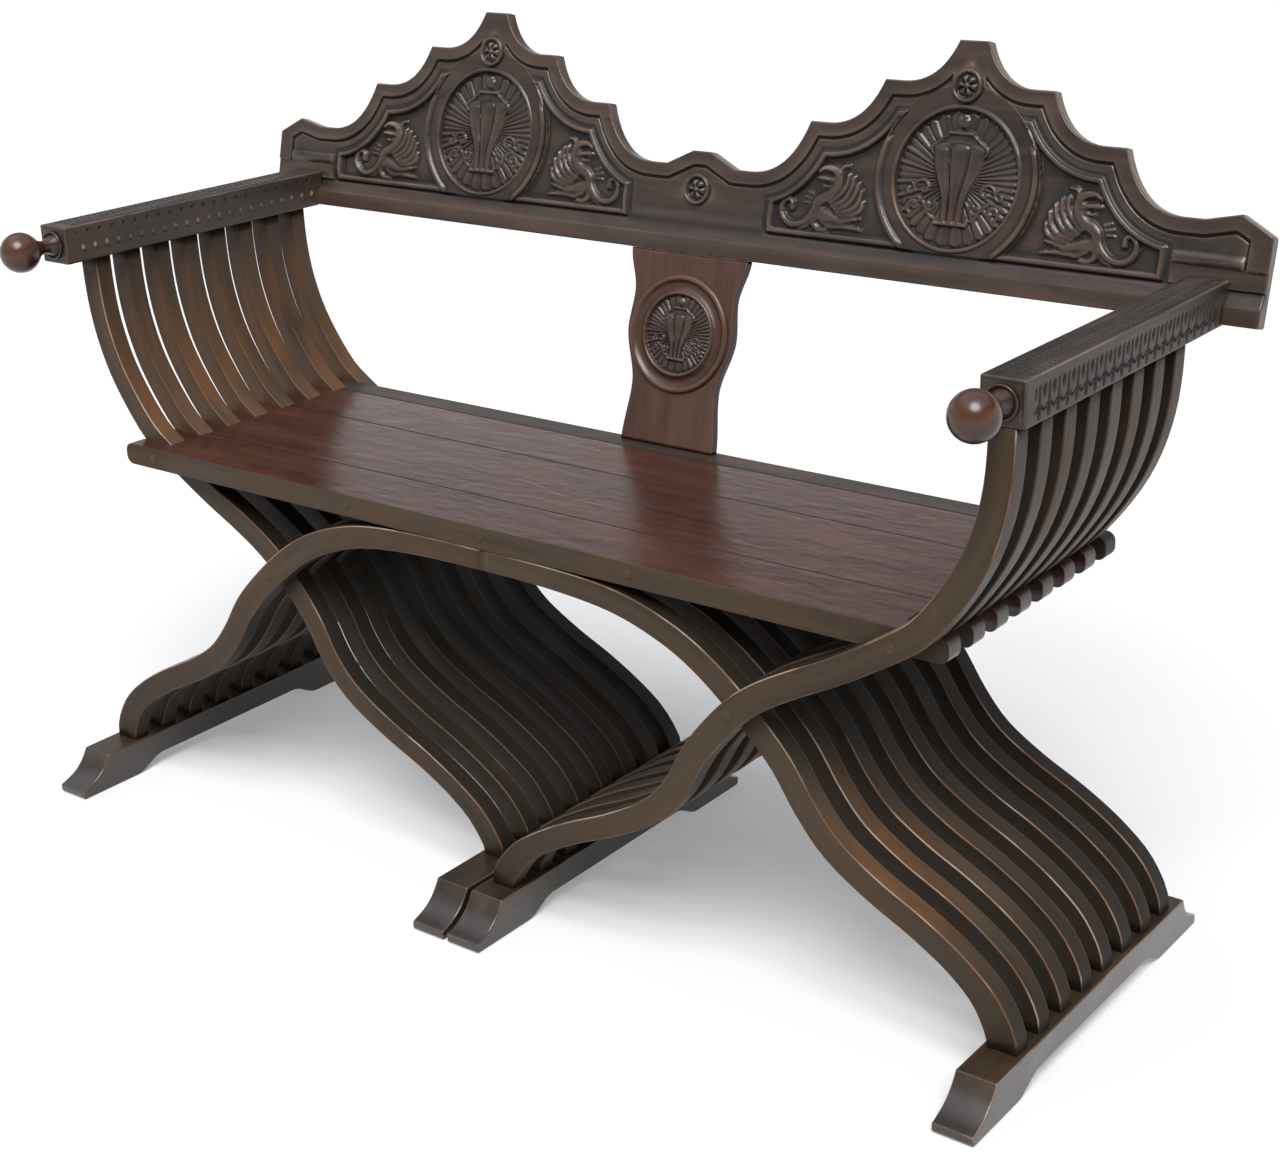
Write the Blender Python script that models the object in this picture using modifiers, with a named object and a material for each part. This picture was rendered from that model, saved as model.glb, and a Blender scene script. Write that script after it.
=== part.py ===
"""Savonarola settee: a double X frame of curved slats, plank seat, turned finials and a lift-off carved back.

Metres, +Z up, the sitter looks along -Y, +X is the viewer's right. The origin is at the middle of
the settee's footprint, on the floor.
"""
from math import cos, pi, radians, sin, tan

import bmesh
import bpy
from mathutils import Matrix, Vector

# Fits
FIT = 0.0003              # gap between pieces that touch
MORTISE_SLACK = 0.0006    # extra depth at the blind end of a mortise

# Slat pack, counted in planes from front to back
PITCH = 0.0232            # one slat and its gap
SLATS_PER_SIDE = 8
PLANES = 2 * SLATS_PER_SIDE + 1
RIGHT_ARM_PLANE = 0       # first plane of the slats that carry the right arm
ARCH_PLANE = 1            # first plane of both sets of arch slats and of the seat's fingers
LEFT_ARM_PLANE = 2        # first plane of the slats that carry the left arm

# Slat widths, seen from the front
ARCH_FOOT_WIDTH = 0.034
ARCH_LEG_WIDTH = 0.029
ARM_FOOT_WIDTH = 0.030
ARM_LEG_WIDTH = 0.026
CROSSING_WIDTH = 0.030
SEAT_CROSSING_WIDTH = 0.0285
ARM_END_WIDTH = 0.028
CROWN_WIDTH = 0.0235
ARM_SLAT_STEPS = 24
ARCH_SLAT_STEPS = 18

# Places that the slats pass through
CROSSING_X = 0.337
CROSSING_Z = 0.332
SEAT_ROD_X = 0.5206
ROD_RADIUS = 0.006
ROD_SIDES = 12

# Feet
FOOT_WIDTH = 0.045
FOOT_HEIGHT = 0.046
FOOT_OVERHANG = 0.0715    # nose of the foot ahead of the first slat
FOOT_REAR_OVERHANG = 0.037    # end of the foot behind the last slat
FOOT_REAR_LEVEL = 0.001   # level top behind the last slat
OUTER_FOOT_X = 0.6385
INNER_FOOT_GAP = 0.006
FOOT_NOSE_HEIGHT = 0.011
FOOT_BEVEL = 0.045        # run of the sloping front end
FOOT_BEVEL_DIP = 0.005    # hollow of the sloping ends
FOOT_PAD = 0.088
FOOT_COVE = 0.045
FOOT_ARCH_RISE = 0.016

# Seat
SEAT_HEIGHT = 0.460
SEAT_THICKNESS = 0.026
FINGER_REACH = 0.0494     # end of the seat beyond its rod
SEAT_END_RADIUS = 0.010
FINGER_GAP_ROOM = 0.004   # play behind a slat in the seat's end
BOARD_JOINTS = (4, 10, 14)    # planes whose middle holds a joint between two boards
DOWEL_RADIUS = 0.005
DOWEL_SPACING = 0.199

# Arms and finials
ARM_X = 0.6284
ARM_WIDTH = 0.045
ARM_HEIGHT = 0.044
ARM_TOP = 0.723
ARM_TAIL = 0.0312         # top edge of the arm behind the last slat
ARM_LIP = 0.001           # arm's front end ahead of the first slat
COLLAR_RADIUS = 0.0165
COLLAR_LENGTH = 0.007
NECK_RADIUS = 0.0095
NECK_LENGTH = 0.018
BALL_RADIUS = 0.0235
STEM_RADIUS = 0.007
STEM_LENGTH = 0.020
TURNED_SIDES = 20

# Mortise and tenon joints of the slats
TENON_SHOULDER = 0.006
TENON_LENGTH = 0.014

# Leaning back
BACK_LEAN = radians(14.0)
CREST_ABOVE_ARM = 0.001   # crest rail's lower front edge above the arm's underside
CREST_THICKNESS = 0.015
CREST_OVERHANG = 0.0596   # end of the crest rail beyond the middle of the arm
PEAK_RISE = 0.260         # rises are measured up the leaning board
PEAK_FLAT = 0.017
STEP_RISES = (0.214, 0.163)
STEP_SHARES = (0.356, 0.666)  # place of each step's corner between peak and dip
STEP_FLAT = 0.023
DIP_RISE = 0.101
CENTRE_DIP_X = 0.048
END_DIP_INSET = 0.072
END_BUMP_INSET = 0.035
END_BUMP_RISE = 0.109
END_CORNER_RISE = 0.090
CENTRE_BUMP_RISE = 0.118
CENTRE_BUMP_HALF = 0.012
SCALLOP_PULL = 0.3        # how close to upright a scallop starts
SCALLOP_STEPS = 5

MEDALLION_RISE = 0.1145
MEDALLION_RADIUS = 0.098
ROSETTE_RADIUS = 0.0135
CENTRE_ROSETTE_RISE = 0.074
RELIEF = 0.004
ROUND_SIDES = 36

# Hook joint between arm and crest rail
HOOK_WIDTH = 0.018
HOOK_LOW = 0.006
HOOK_HIGH = 0.030
HOOK_DEPTH = 0.009

# Splat
SPLAT_THICKNESS = 0.011
SPLAT_PROUD = 0.002       # splat's front ahead of the crest rail's front
SPLAT_TOP_HALF = 0.083
SPLAT_WAIST_HALF = 0.0715
SPLAT_LOBE_HALF = 0.0755
SPLAT_NECK_HALF = 0.0605
SPLAT_FOOT_HALF = 0.067
SPLAT_MEDALLION_RADIUS = 0.069
SPLAT_MEDALLION_DROP = 0.094
SPLAT_TENON_THICKNESS = 0.005
SPLAT_TOP_TENON_DEPTH = 0.0035    # from the crest rail's front to the tenon
SPLAT_TOP_TENON_HALF = 0.050
SPLAT_TOP_TENON_LENGTH = 0.014
SPLAT_FOOT_TENON_X = 0.040
SPLAT_FOOT_TENON_WIDTH = 0.026
SPLAT_FOOT_TENON_LENGTH = 0.013

# Worked-out places
SEAT_UNDERSIDE = SEAT_HEIGHT - SEAT_THICKNESS
SEAT_MIDDLE = SEAT_HEIGHT - SEAT_THICKNESS / 2
SEAT_HALF_LENGTH = SEAT_ROD_X + FINGER_REACH
ARM_UNDERSIDE = ARM_TOP - ARM_HEIGHT
PACK_DEPTH = PLANES * PITCH
FOOT_LENGTH = FOOT_OVERHANG + PACK_DEPTH + FOOT_REAR_OVERHANG
INNER_FOOT_X = INNER_FOOT_GAP / 2 + FOOT_WIDTH / 2
FINIAL_REACH = COLLAR_LENGTH + NECK_LENGTH + 2 * BALL_RADIUS
ARM_REAR_TOP = FOOT_OVERHANG + PACK_DEPTH + ARM_TAIL    # from the foot's nose
CREST_BOTTOM = ARM_UNDERSIDE + CREST_ABOVE_ARM
CREST_HALF_LENGTH = ARM_X + CREST_OVERHANG
PEAK_X = (CENTRE_DIP_X + CREST_HALF_LENGTH - END_DIP_INSET) / 2
PEAK_ROSETTE_RISE = MEDALLION_RISE + MEDALLION_RADIUS
CREST_PEAK_BACK = (ARM_REAR_TOP - (ARM_TOP - CREST_BOTTOM) * tan(BACK_LEAN)
                   + PEAK_RISE * sin(BACK_LEAN) + CREST_THICKNESS * cos(BACK_LEAN))
FRONT_REACH = max(0.0, FINIAL_REACH - (FOOT_OVERHANG - ARM_LIP))
FOOT_NOSE_Y = -(CREST_PEAK_BACK - FRONT_REACH) / 2
PACK_FRONT_Y = FOOT_NOSE_Y + FOOT_OVERHANG
ARM_FRONT_Y = PACK_FRONT_Y - ARM_LIP
ARM_REAR_TOP_Y = FOOT_NOSE_Y + ARM_REAR_TOP
CREST_FOOT_Y = ARM_REAR_TOP_Y - (ARM_TOP - CREST_BOTTOM) * tan(BACK_LEAN)
SPLAT_MIDDLE_OUT = SPLAT_PROUD - SPLAT_THICKNESS / 2    # out of the crest rail's front plane
SPLAT_TOP_TENON_OUT = -SPLAT_TOP_TENON_DEPTH - SPLAT_TENON_THICKNESS / 2
SPLAT_LENGTH = (CREST_BOTTOM - SEAT_HEIGHT) / cos(BACK_LEAN)

# Sweeps of both kinds of leg from foot to crossing, as shares of the run and of the rise
ARCH_LEG_SWEEP = ((0.055, 0.15), (0.16, 0.26), (0.31, 0.36), (0.49, 0.455), (0.643, 0.56), (0.748, 0.685),
                  (0.85, 0.842))
ARM_LEG_SWEEP = ((0.066, 0.138), (0.174, 0.236), (0.323, 0.330), (0.503, 0.422), (0.672, 0.530), (0.780, 0.655),
                 (0.868, 0.825))
# Sweep of an arm slat from the crossing to the seat's rod, and on to the arm
SEAT_SWEEP = ((0.181, 0.245), (0.40, 0.453), (0.67, 0.679))
ARM_SWEEP = ((0.32, 0.115), (0.665, 0.335), (0.86, 0.53), (0.97, 0.746))
# Sweep of an arch slat from the crossing to its crown under the seat
CROWN_SWEEP = ((0.139, 0.412), (0.278, 0.69), (0.465, 0.90), (0.703, 0.985))

for thing in list(bpy.data.objects):
    bpy.data.objects.remove(thing, do_unlink=True)


def new_collection(name):
    collection = bpy.data.collections.new(name)
    bpy.context.scene.collection.children.link(collection)
    return collection


PARTS = new_collection("savonarola_settee")
CUTTERS = new_collection("cutters")


def new_material(name, colour, roughness):
    material = bpy.data.materials.new(name)
    material.use_nodes = True
    shader = material.node_tree.nodes["Principled BSDF"]
    shader.inputs["Base Color"].default_value = (*colour, 1.0)
    shader.inputs["Roughness"].default_value = roughness
    shader.inputs["Metallic"].default_value = 0.0
    return material


FRAME_WALNUT = new_material("frame_walnut", (0.060, 0.040, 0.026), 0.45)
SEAT_WALNUT = new_material("seat_walnut", (0.055, 0.022, 0.017), 0.30)
CARVED_WALNUT = new_material("carved_walnut", (0.055, 0.034, 0.022), 0.42)
TURNED_WALNUT = new_material("turned_walnut", (0.080, 0.036, 0.020), 0.32)


# Shared shaping

def plane_front(plane):
    """Y of the front of a plane of the slat pack."""
    return PACK_FRONT_Y + plane * PITCH


def along_sweep(start, end, shares):
    """Points between two places, given as shares of the way across and of the way up."""
    run = end[0] - start[0]
    rise = end[1] - start[1]
    return [(start[0] + across * run, start[1] + up * rise) for across, up in shares]


def smooth_through(points, before, after):
    """Catmull-Rom curve through points; before and after steer its two ends."""
    knots = [Vector(p) for p in (before, *points, after)]
    pieces_per_span = 8
    curve = []
    for i in range(1, len(knots) - 2):
        a, b, c, d = knots[i - 1:i + 3]
        for step in range(pieces_per_span):
            t = step / pieces_per_span
            curve.append(0.5 * (2 * b + (c - a) * t + (2 * a - 5 * b + 4 * c - d) * t ** 2
                                + (3 * b - a - 3 * c + d) * t ** 3))
    curve.append(knots[-2])
    return curve


def even_stations(curve, steps):
    """Points at equal steps along a curve, each with its share of the length and its direction."""
    lengths = [0.0]
    for a, b in zip(curve, curve[1:]):
        lengths.append(lengths[-1] + (b - a).length)
    stations = []
    span = 0
    for step in range(steps + 1):
        target = lengths[-1] * step / steps
        while span < len(curve) - 2 and lengths[span + 1] < target:
            span += 1
        a, b = curve[span], curve[span + 1]
        share = (target - lengths[span]) / (lengths[span + 1] - lengths[span])
        stations.append((a.lerp(b, share), step / steps, (b - a).normalized()))
    return stations


def width_at(share, marks):
    """Width at a share of the length, eased between the marked widths."""
    for (s0, w0), (s1, w1) in zip(marks, marks[1:]):
        if share <= s1:
            t = (share - s0) / (s1 - s0)
            return w0 + (w1 - w0) * t * t * (3 - 2 * t)
    return marks[-1][1]


def circle_loop(x, y, radius, sides):
    turns = [2 * pi * i / sides for i in range(sides)]
    return [(x + radius * cos(turn), y + radius * sin(turn)) for turn in turns]


def outline_piece(name, loops, thickness, material):
    """A flat outline with its holes, as a filled curve with a thickness; returns the curve object."""
    curve = bpy.data.curves.new(name, "CURVE")
    curve.dimensions = "2D"
    curve.fill_mode = "BOTH"
    curve.extrude = thickness / 2
    for loop in loops:
        spline = curve.splines.new("POLY")
        spline.points.add(len(loop) - 1)
        for point, (x, y) in zip(spline.points, loop):
            point.co = (x, y, 0.0, 1.0)
        spline.use_cyclic_u = True
    piece = bpy.data.objects.new(name, curve)
    PARTS.objects.link(piece)
    curve.materials.append(material)
    return piece


def stand_facing_front(piece, y):
    """Turn a piece drawn in X and Z so that it stands with its middle plane at y."""
    piece.rotation_euler = (pi / 2, 0.0, 0.0)
    piece.location = (0.0, y, 0.0)


def stand_facing_side(piece, x):
    """Turn a piece drawn in Y and Z so that it stands with its middle plane at x."""
    piece.rotation_euler = (pi / 2, 0.0, pi / 2)
    piece.location = (x, 0.0, 0.0)


def lean_with_back(piece, front_offset):
    """Lay a piece drawn across and up the back on the leaning back, its middle this far from the front."""
    piece.rotation_euler = (pi / 2 - BACK_LEAN, 0.0, 0.0)
    piece.location = back_place(0.0, 0.0, front_offset)


def back_place(across, up, out):
    """World place of a point on the leaning back: across, up the board, and out of its front face."""
    return Vector((across,
                   CREST_FOOT_Y + up * sin(BACK_LEAN) - out * cos(BACK_LEAN),
                   CREST_BOTTOM + up * cos(BACK_LEAN) + out * sin(BACK_LEAN)))


def as_mesh(piece):
    """Replace a curve object by its closed mesh, so that it can be cut and joined."""
    bpy.context.view_layer.update()
    evaluated = piece.evaluated_get(bpy.context.evaluated_depsgraph_get())
    mesh = bpy.data.meshes.new_from_object(evaluated)
    welded = bmesh.new()
    welded.from_mesh(mesh)
    bmesh.ops.remove_doubles(welded, verts=welded.verts, dist=1e-6)
    bmesh.ops.recalc_face_normals(welded, faces=welded.faces)
    welded.to_mesh(mesh)
    welded.free()
    name = piece.name
    place = piece.matrix_world.copy()
    bpy.data.objects.remove(piece, do_unlink=True)
    solid = bpy.data.objects.new(name, mesh)
    solid.matrix_world = place
    PARTS.objects.link(solid)
    return solid


def new_cutter(name, builder):
    mesh = bpy.data.meshes.new(name)
    shape = bmesh.new()
    builder(shape)
    shape.to_mesh(mesh)
    shape.free()
    cutter = bpy.data.objects.new(name, mesh)
    cutter.hide_render = True
    cutter.display_type = "WIRE"
    CUTTERS.objects.link(cutter)
    return cutter


def box_cutter(name, size, place, turn=0.0, axis="X"):
    """A box of this size centred at a place and turned about one axis."""
    matrix = Matrix.Translation(place) @ Matrix.Rotation(turn, 4, axis) @ Matrix.Diagonal((*size, 1.0))
    return new_cutter(name, lambda shape: bmesh.ops.create_cube(shape, size=1.0, matrix=matrix))


def round_cutter(name, radius, length, place, turn, sides):
    """A cylinder centred at a place, its axis turned from Z about X."""
    matrix = Matrix.Translation(place) @ Matrix.Rotation(turn, 4, "X")
    return new_cutter(name, lambda shape: bmesh.ops.create_cone(
        shape, cap_ends=True, segments=sides, radius1=radius, radius2=radius, depth=length, matrix=matrix))


def shape_with(piece, cutter, operation):
    step = piece.modifiers.new(cutter.name, "BOOLEAN")
    step.operation = operation
    step.object = cutter
    step.solver = "EXACT"


# Slats

def leg_path(foot_x, sweep):
    foot = (foot_x, FOOT_HEIGHT + FIT)
    crossing = (CROSSING_X, CROSSING_Z)
    return [foot, *along_sweep(foot, crossing, sweep), crossing]


def arm_slat_path():
    crossing = (CROSSING_X, CROSSING_Z)
    seat_rod = (SEAT_ROD_X, SEAT_MIDDLE)
    arm = (ARM_X, ARM_UNDERSIDE - FIT)
    return [*leg_path(INNER_FOOT_X, ARM_LEG_SWEEP), *along_sweep(crossing, seat_rod, SEAT_SWEEP), seat_rod,
            *along_sweep(seat_rod, arm, ARM_SWEEP), arm]


def arch_slat_path():
    crossing = (CROSSING_X, CROSSING_Z)
    crown = (FIT / 2, SEAT_UNDERSIDE - FIT - CROWN_WIDTH / 2)
    return [*leg_path(OUTER_FOOT_X, ARCH_LEG_SWEEP), *along_sweep(crossing, crown, CROWN_SWEEP), crown]


def slat_edges(path, after, marks, steps):
    """Both edges of a slat along its path, from the foot up."""
    before = (path[1][0], 2 * path[0][1] - path[1][1])
    stations = even_stations(smooth_through(path, before, after), steps)
    ahead = []
    behind = []
    for number, (centre, share, direction) in enumerate(stations):
        if number == 0:
            direction = Vector((0.0, 1.0))
        if number == steps:
            direction = (Vector(after) - Vector(path[-2])).normalized()
        side = Vector((direction.y, -direction.x)) * width_at(share, marks) / 2
        ahead.append(tuple(centre + side))
        behind.append(tuple(centre - side))
    return ahead, behind


def foot_tenon(foot_x, end_width):
    half = end_width / 2 - TENON_SHOULDER
    shoulder = FOOT_HEIGHT + FIT
    tip = FOOT_HEIGHT - TENON_LENGTH
    return [(foot_x - half, shoulder), (foot_x - half, tip), (foot_x + half, tip), (foot_x + half, shoulder)]


def arm_tenon():
    half = ARM_END_WIDTH / 2 - TENON_SHOULDER
    shoulder = ARM_UNDERSIDE - FIT
    tip = ARM_UNDERSIDE + TENON_LENGTH
    return [(ARM_X + half, shoulder), (ARM_X + half, tip), (ARM_X - half, tip), (ARM_X - half, shoulder)]


def arm_slat_edges():
    path = arm_slat_path()
    after = (path[-2][0], 2 * path[-1][1] - path[-2][1])
    marks = ((0.0, ARM_FOOT_WIDTH), (0.12, ARM_LEG_WIDTH), (0.45, CROSSING_WIDTH), (0.68, SEAT_CROSSING_WIDTH),
             (1.0, ARM_END_WIDTH))
    return slat_edges(path, after, marks, ARM_SLAT_STEPS)


def arm_slat_loops():
    outer_edge, inner_edge = arm_slat_edges()
    outline = [*foot_tenon(INNER_FOOT_X, ARM_FOOT_WIDTH), *outer_edge, *arm_tenon(), *reversed(inner_edge)]
    return [outline, circle_loop(CROSSING_X, CROSSING_Z, ROD_RADIUS + FIT, ROD_SIDES),
            circle_loop(SEAT_ROD_X, SEAT_MIDDLE, ROD_RADIUS + FIT, ROD_SIDES)]


def arch_slat_loops():
    path = arch_slat_path()
    after = (-path[-2][0], path[-2][1])
    marks = ((0.0, ARCH_FOOT_WIDTH), (0.12, ARCH_LEG_WIDTH), (0.55, CROSSING_WIDTH), (1.0, CROWN_WIDTH))
    ahead, behind = slat_edges(path, after, marks, ARCH_SLAT_STEPS)
    outline = [*foot_tenon(OUTER_FOOT_X, ARCH_FOOT_WIDTH), *ahead, *reversed(behind)]
    return [outline, circle_loop(CROSSING_X, CROSSING_Z, ROD_RADIUS + FIT, ROD_SIDES)]


def mirrored(loops):
    return [[(-x, y) for x, y in reversed(loop)] for loop in loops]


def make_slat_row(name, loops, first_plane):
    for number in range(SLATS_PER_SIDE):
        slat = outline_piece(f"{name}_{number + 1}", loops, PITCH - FIT, FRAME_WALNUT)
        stand_facing_front(slat, plane_front(first_plane + 2 * number) + PITCH / 2)


def mortise_cutters(name, x, first_plane, end_width, face):
    """Blind mortises for one row of slats, in the level face of an arm or a foot."""
    size = (end_width - 2 * TENON_SHOULDER + 2 * FIT, PITCH + FIT, 2 * (TENON_LENGTH + MORTISE_SLACK))

    def build(shape):
        for number in range(SLATS_PER_SIDE):
            middle = plane_front(first_plane + 2 * number) + PITCH / 2
            matrix = Matrix.Translation((x, middle, face)) @ Matrix.Diagonal((*size, 1.0))
            bmesh.ops.create_cube(shape, size=1.0, matrix=matrix)

    return new_cutter(name + "_mortises", build)


# Feet

def foot_end(bevel):
    """Side view of one end of a foot, from the arch under it round to its top, by distance from the end."""
    corner = FOOT_NOSE_HEIGHT / 4
    slope_rise = FOOT_HEIGHT - FOOT_NOSE_HEIGHT
    steps = 4
    end = []
    for step in range(steps, -1, -1):
        t = step / steps
        end.append((FOOT_PAD + FOOT_COVE * t, FOOT_ARCH_RISE * (1 - cos(pi * t)) / 2))
    end += [(corner, 0.0), (0.0, corner), (0.0, FOOT_NOSE_HEIGHT)]
    for step in range(1, steps + 1):
        t = step / steps
        dip = FOOT_BEVEL_DIP * sin(pi * t)
        end.append((bevel * t + dip, FOOT_NOSE_HEIGHT + slope_rise * t - dip))
    return end


def foot_outline():
    """Side view of a sledge foot: hollow slopes at both ends, and a low arch between two pads."""
    front = [(FOOT_NOSE_Y + inwards, z) for inwards, z in foot_end(FOOT_BEVEL)]
    rear_bevel = FOOT_REAR_OVERHANG - FOOT_REAR_LEVEL
    rear = [(FOOT_NOSE_Y + FOOT_LENGTH - inwards, z) for inwards, z in foot_end(rear_bevel)]
    return [*front, *reversed(rear)]


def make_feet():
    rows = (("left_outer_foot", -OUTER_FOOT_X, ARCH_PLANE, ARCH_FOOT_WIDTH),
            ("left_inner_foot", -INNER_FOOT_X, LEFT_ARM_PLANE, ARM_FOOT_WIDTH),
            ("right_inner_foot", INNER_FOOT_X, RIGHT_ARM_PLANE, ARM_FOOT_WIDTH),
            ("right_outer_foot", OUTER_FOOT_X, ARCH_PLANE, ARCH_FOOT_WIDTH))
    for name, x, first_plane, slat_width in rows:
        foot = outline_piece(name, [foot_outline()], FOOT_WIDTH, FRAME_WALNUT)
        stand_facing_side(foot, x)
        foot = as_mesh(foot)
        shape_with(foot, mortise_cutters(name, x, first_plane, slat_width, FOOT_HEIGHT), "DIFFERENCE")


# Arms with their hook tenons, and finials

def make_arm(name, x, first_plane):
    rear_run = ARM_HEIGHT * tan(BACK_LEAN)
    rear = ARM_REAR_TOP_Y - FIT
    outline = [(ARM_FRONT_Y, ARM_UNDERSIDE), (rear - rear_run, ARM_UNDERSIDE),
               (rear, ARM_TOP), (ARM_FRONT_Y, ARM_TOP)]
    arm = outline_piece(name, [outline], ARM_WIDTH, CARVED_WALNUT)
    stand_facing_side(arm, x)
    arm = as_mesh(arm)
    root = HOOK_DEPTH
    hook_size = (HOOK_WIDTH, HOOK_HIGH - HOOK_LOW, HOOK_DEPTH + root)
    hook_place = back_place(x, (HOOK_LOW + HOOK_HIGH) / 2, (root - HOOK_DEPTH) / 2)
    shape_with(arm, box_cutter(name + "_hook", hook_size, hook_place, pi / 2 - BACK_LEAN), "UNION")
    shape_with(arm, mortise_cutters(name, x, first_plane, ARM_END_WIDTH, ARM_UNDERSIDE), "DIFFERENCE")
    stem_hole = round_cutter(name + "_stem_hole", STEM_RADIUS + FIT, 2 * (STEM_LENGTH + MORTISE_SLACK),
                             (x, ARM_FRONT_Y, (ARM_TOP + ARM_UNDERSIDE) / 2), pi / 2, TURNED_SIDES)
    shape_with(arm, stem_hole, "DIFFERENCE")


def finial_profile():
    """Turned outline from the tip of the ball back to the end of the stem: distance from the arm, radius."""
    ball_centre = COLLAR_LENGTH + NECK_LENGTH + BALL_RADIUS
    neck_angle = pi - 0.42
    profile = []
    ball_steps = 7
    for step in range(ball_steps + 1):
        angle = neck_angle * step / ball_steps
        profile.append((ball_centre + BALL_RADIUS * cos(angle), BALL_RADIUS * sin(angle)))
    profile += [(COLLAR_LENGTH + NECK_LENGTH * 0.45, NECK_RADIUS * 0.9),
                (COLLAR_LENGTH, NECK_RADIUS),
                (COLLAR_LENGTH, COLLAR_RADIUS * 0.85), (COLLAR_LENGTH * 0.6, COLLAR_RADIUS),
                (FIT, COLLAR_RADIUS), (FIT, STEM_RADIUS), (-STEM_LENGTH, STEM_RADIUS), (-STEM_LENGTH, 0.0)]
    return profile


def make_finial(name, x):
    profile = finial_profile()
    mesh = bpy.data.meshes.new(name)
    mesh.from_pydata([(radius, 0.0, out) for out, radius in profile],
                     [(i, i + 1) for i in range(len(profile) - 1)], [])
    finial = bpy.data.objects.new(name, mesh)
    finial.rotation_euler = (pi / 2, 0.0, 0.0)
    finial.location = (x, ARM_FRONT_Y, (ARM_TOP + ARM_UNDERSIDE) / 2)
    PARTS.objects.link(finial)
    turning = finial.modifiers.new("turning", "SCREW")
    turning.axis = "Z"
    turning.steps = TURNED_SIDES
    turning.render_steps = TURNED_SIDES
    turning.use_merge_vertices = True
    turning.merge_threshold = 0.0001
    turning.use_smooth_shade = True
    mesh.materials.append(TURNED_WALNUT)


# Seat

def seat_loops():
    """Front view of the seat with rounded ends, and the holes of its rods and dowels."""
    corner_steps = 3
    outline = []
    corners = ((1, 1, 0.0), (-1, 1, pi / 2), (-1, -1, pi), (1, -1, 3 * pi / 2))
    for side, level, start in corners:
        centre_x = side * (SEAT_HALF_LENGTH - SEAT_END_RADIUS)
        centre_z = SEAT_MIDDLE + level * (SEAT_THICKNESS / 2 - SEAT_END_RADIUS)
        for step in range(corner_steps + 1):
            angle = start + pi / 2 * step / corner_steps
            outline.append((centre_x + SEAT_END_RADIUS * cos(angle), centre_z + SEAT_END_RADIUS * sin(angle)))
    rods = [circle_loop(side * SEAT_ROD_X, SEAT_MIDDLE, ROD_RADIUS + FIT, ROD_SIDES) for side in (-1, 1)]
    dowels = [circle_loop(place * DOWEL_SPACING, SEAT_MIDDLE, DOWEL_RADIUS + FIT, ROD_SIDES)
              for place in (-1, 0, 1)]
    return [outline, *rods, *dowels]


def finger_gap_outline():
    """Front view of one slot in the seat's right end, cut to the inner edge of the arm slat that fills it."""
    _, inner_edge = arm_slat_edges()
    low = SEAT_UNDERSIDE - SEAT_THICKNESS
    high = SEAT_HEIGHT + SEAT_THICKNESS
    edge = [(x - FINGER_GAP_ROOM, z) for x, z in inner_edge if low < z < high]
    past_end = SEAT_HALF_LENGTH + SEAT_THICKNESS
    return [(past_end, edge[0][1]), *edge, (past_end, edge[-1][1])]


def finger_gap_cutter():
    """Slots in both ends of the seat for the arm slats that pass between its fingers."""
    outline = finger_gap_outline()
    width = PITCH + FIT

    def build(shape):
        for side in (-1, 1):
            for plane in range(ARCH_PLANE + 1, ARCH_PLANE + 2 * SLATS_PER_SIDE - 1, 2):
                front = plane_front(plane) + (PITCH - width) / 2
                corners = [shape.verts.new((side * x, front, z)) for x, z in outline]
                face = shape.faces.new(corners)
                grown = bmesh.ops.extrude_face_region(shape, geom=[face])
                moved = [item for item in grown["geom"] if isinstance(item, bmesh.types.BMVert)]
                bmesh.ops.translate(shape, verts=moved, vec=(0.0, width, 0.0))
        bmesh.ops.recalc_face_normals(shape, faces=shape.faces)

    return new_cutter("finger_gaps", build)


def make_seat(tenon_cutters):
    """Four boards with fingers at both ends, joined edge to edge by dowels and hung on the two seat rods."""
    names = ("seat_front_board", "seat_middle_board", "seat_back_board", "seat_rear_strip")
    edges = [plane_front(ARCH_PLANE), *(plane_front(plane) + PITCH / 2 for plane in BOARD_JOINTS),
             plane_front(ARCH_PLANE + 2 * SLATS_PER_SIDE - 1)]
    gaps = finger_gap_cutter()
    for name, front, back in zip(names, edges, edges[1:]):
        board = outline_piece(name, seat_loops(), back - front - FIT, SEAT_WALNUT)
        stand_facing_front(board, (front + back) / 2)
        board = as_mesh(board)
        shape_with(board, gaps, "DIFFERENCE")
        if name == names[-1]:
            for cutter in tenon_cutters:
                shape_with(board, cutter, "DIFFERENCE")


# Rods and dowels

def make_rod(name, x, z, radius, front, back, material):
    bpy.ops.mesh.primitive_cylinder_add(vertices=ROD_SIDES, radius=radius, depth=back - front,
                                        location=(x, (front + back) / 2, z), rotation=(pi / 2, 0.0, 0.0))
    rod = bpy.context.active_object
    rod.name = name
    rod.data.name = name
    rod.data.materials.append(material)
    for collection in list(rod.users_collection):
        collection.objects.unlink(rod)
    PARTS.objects.link(rod)


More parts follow.
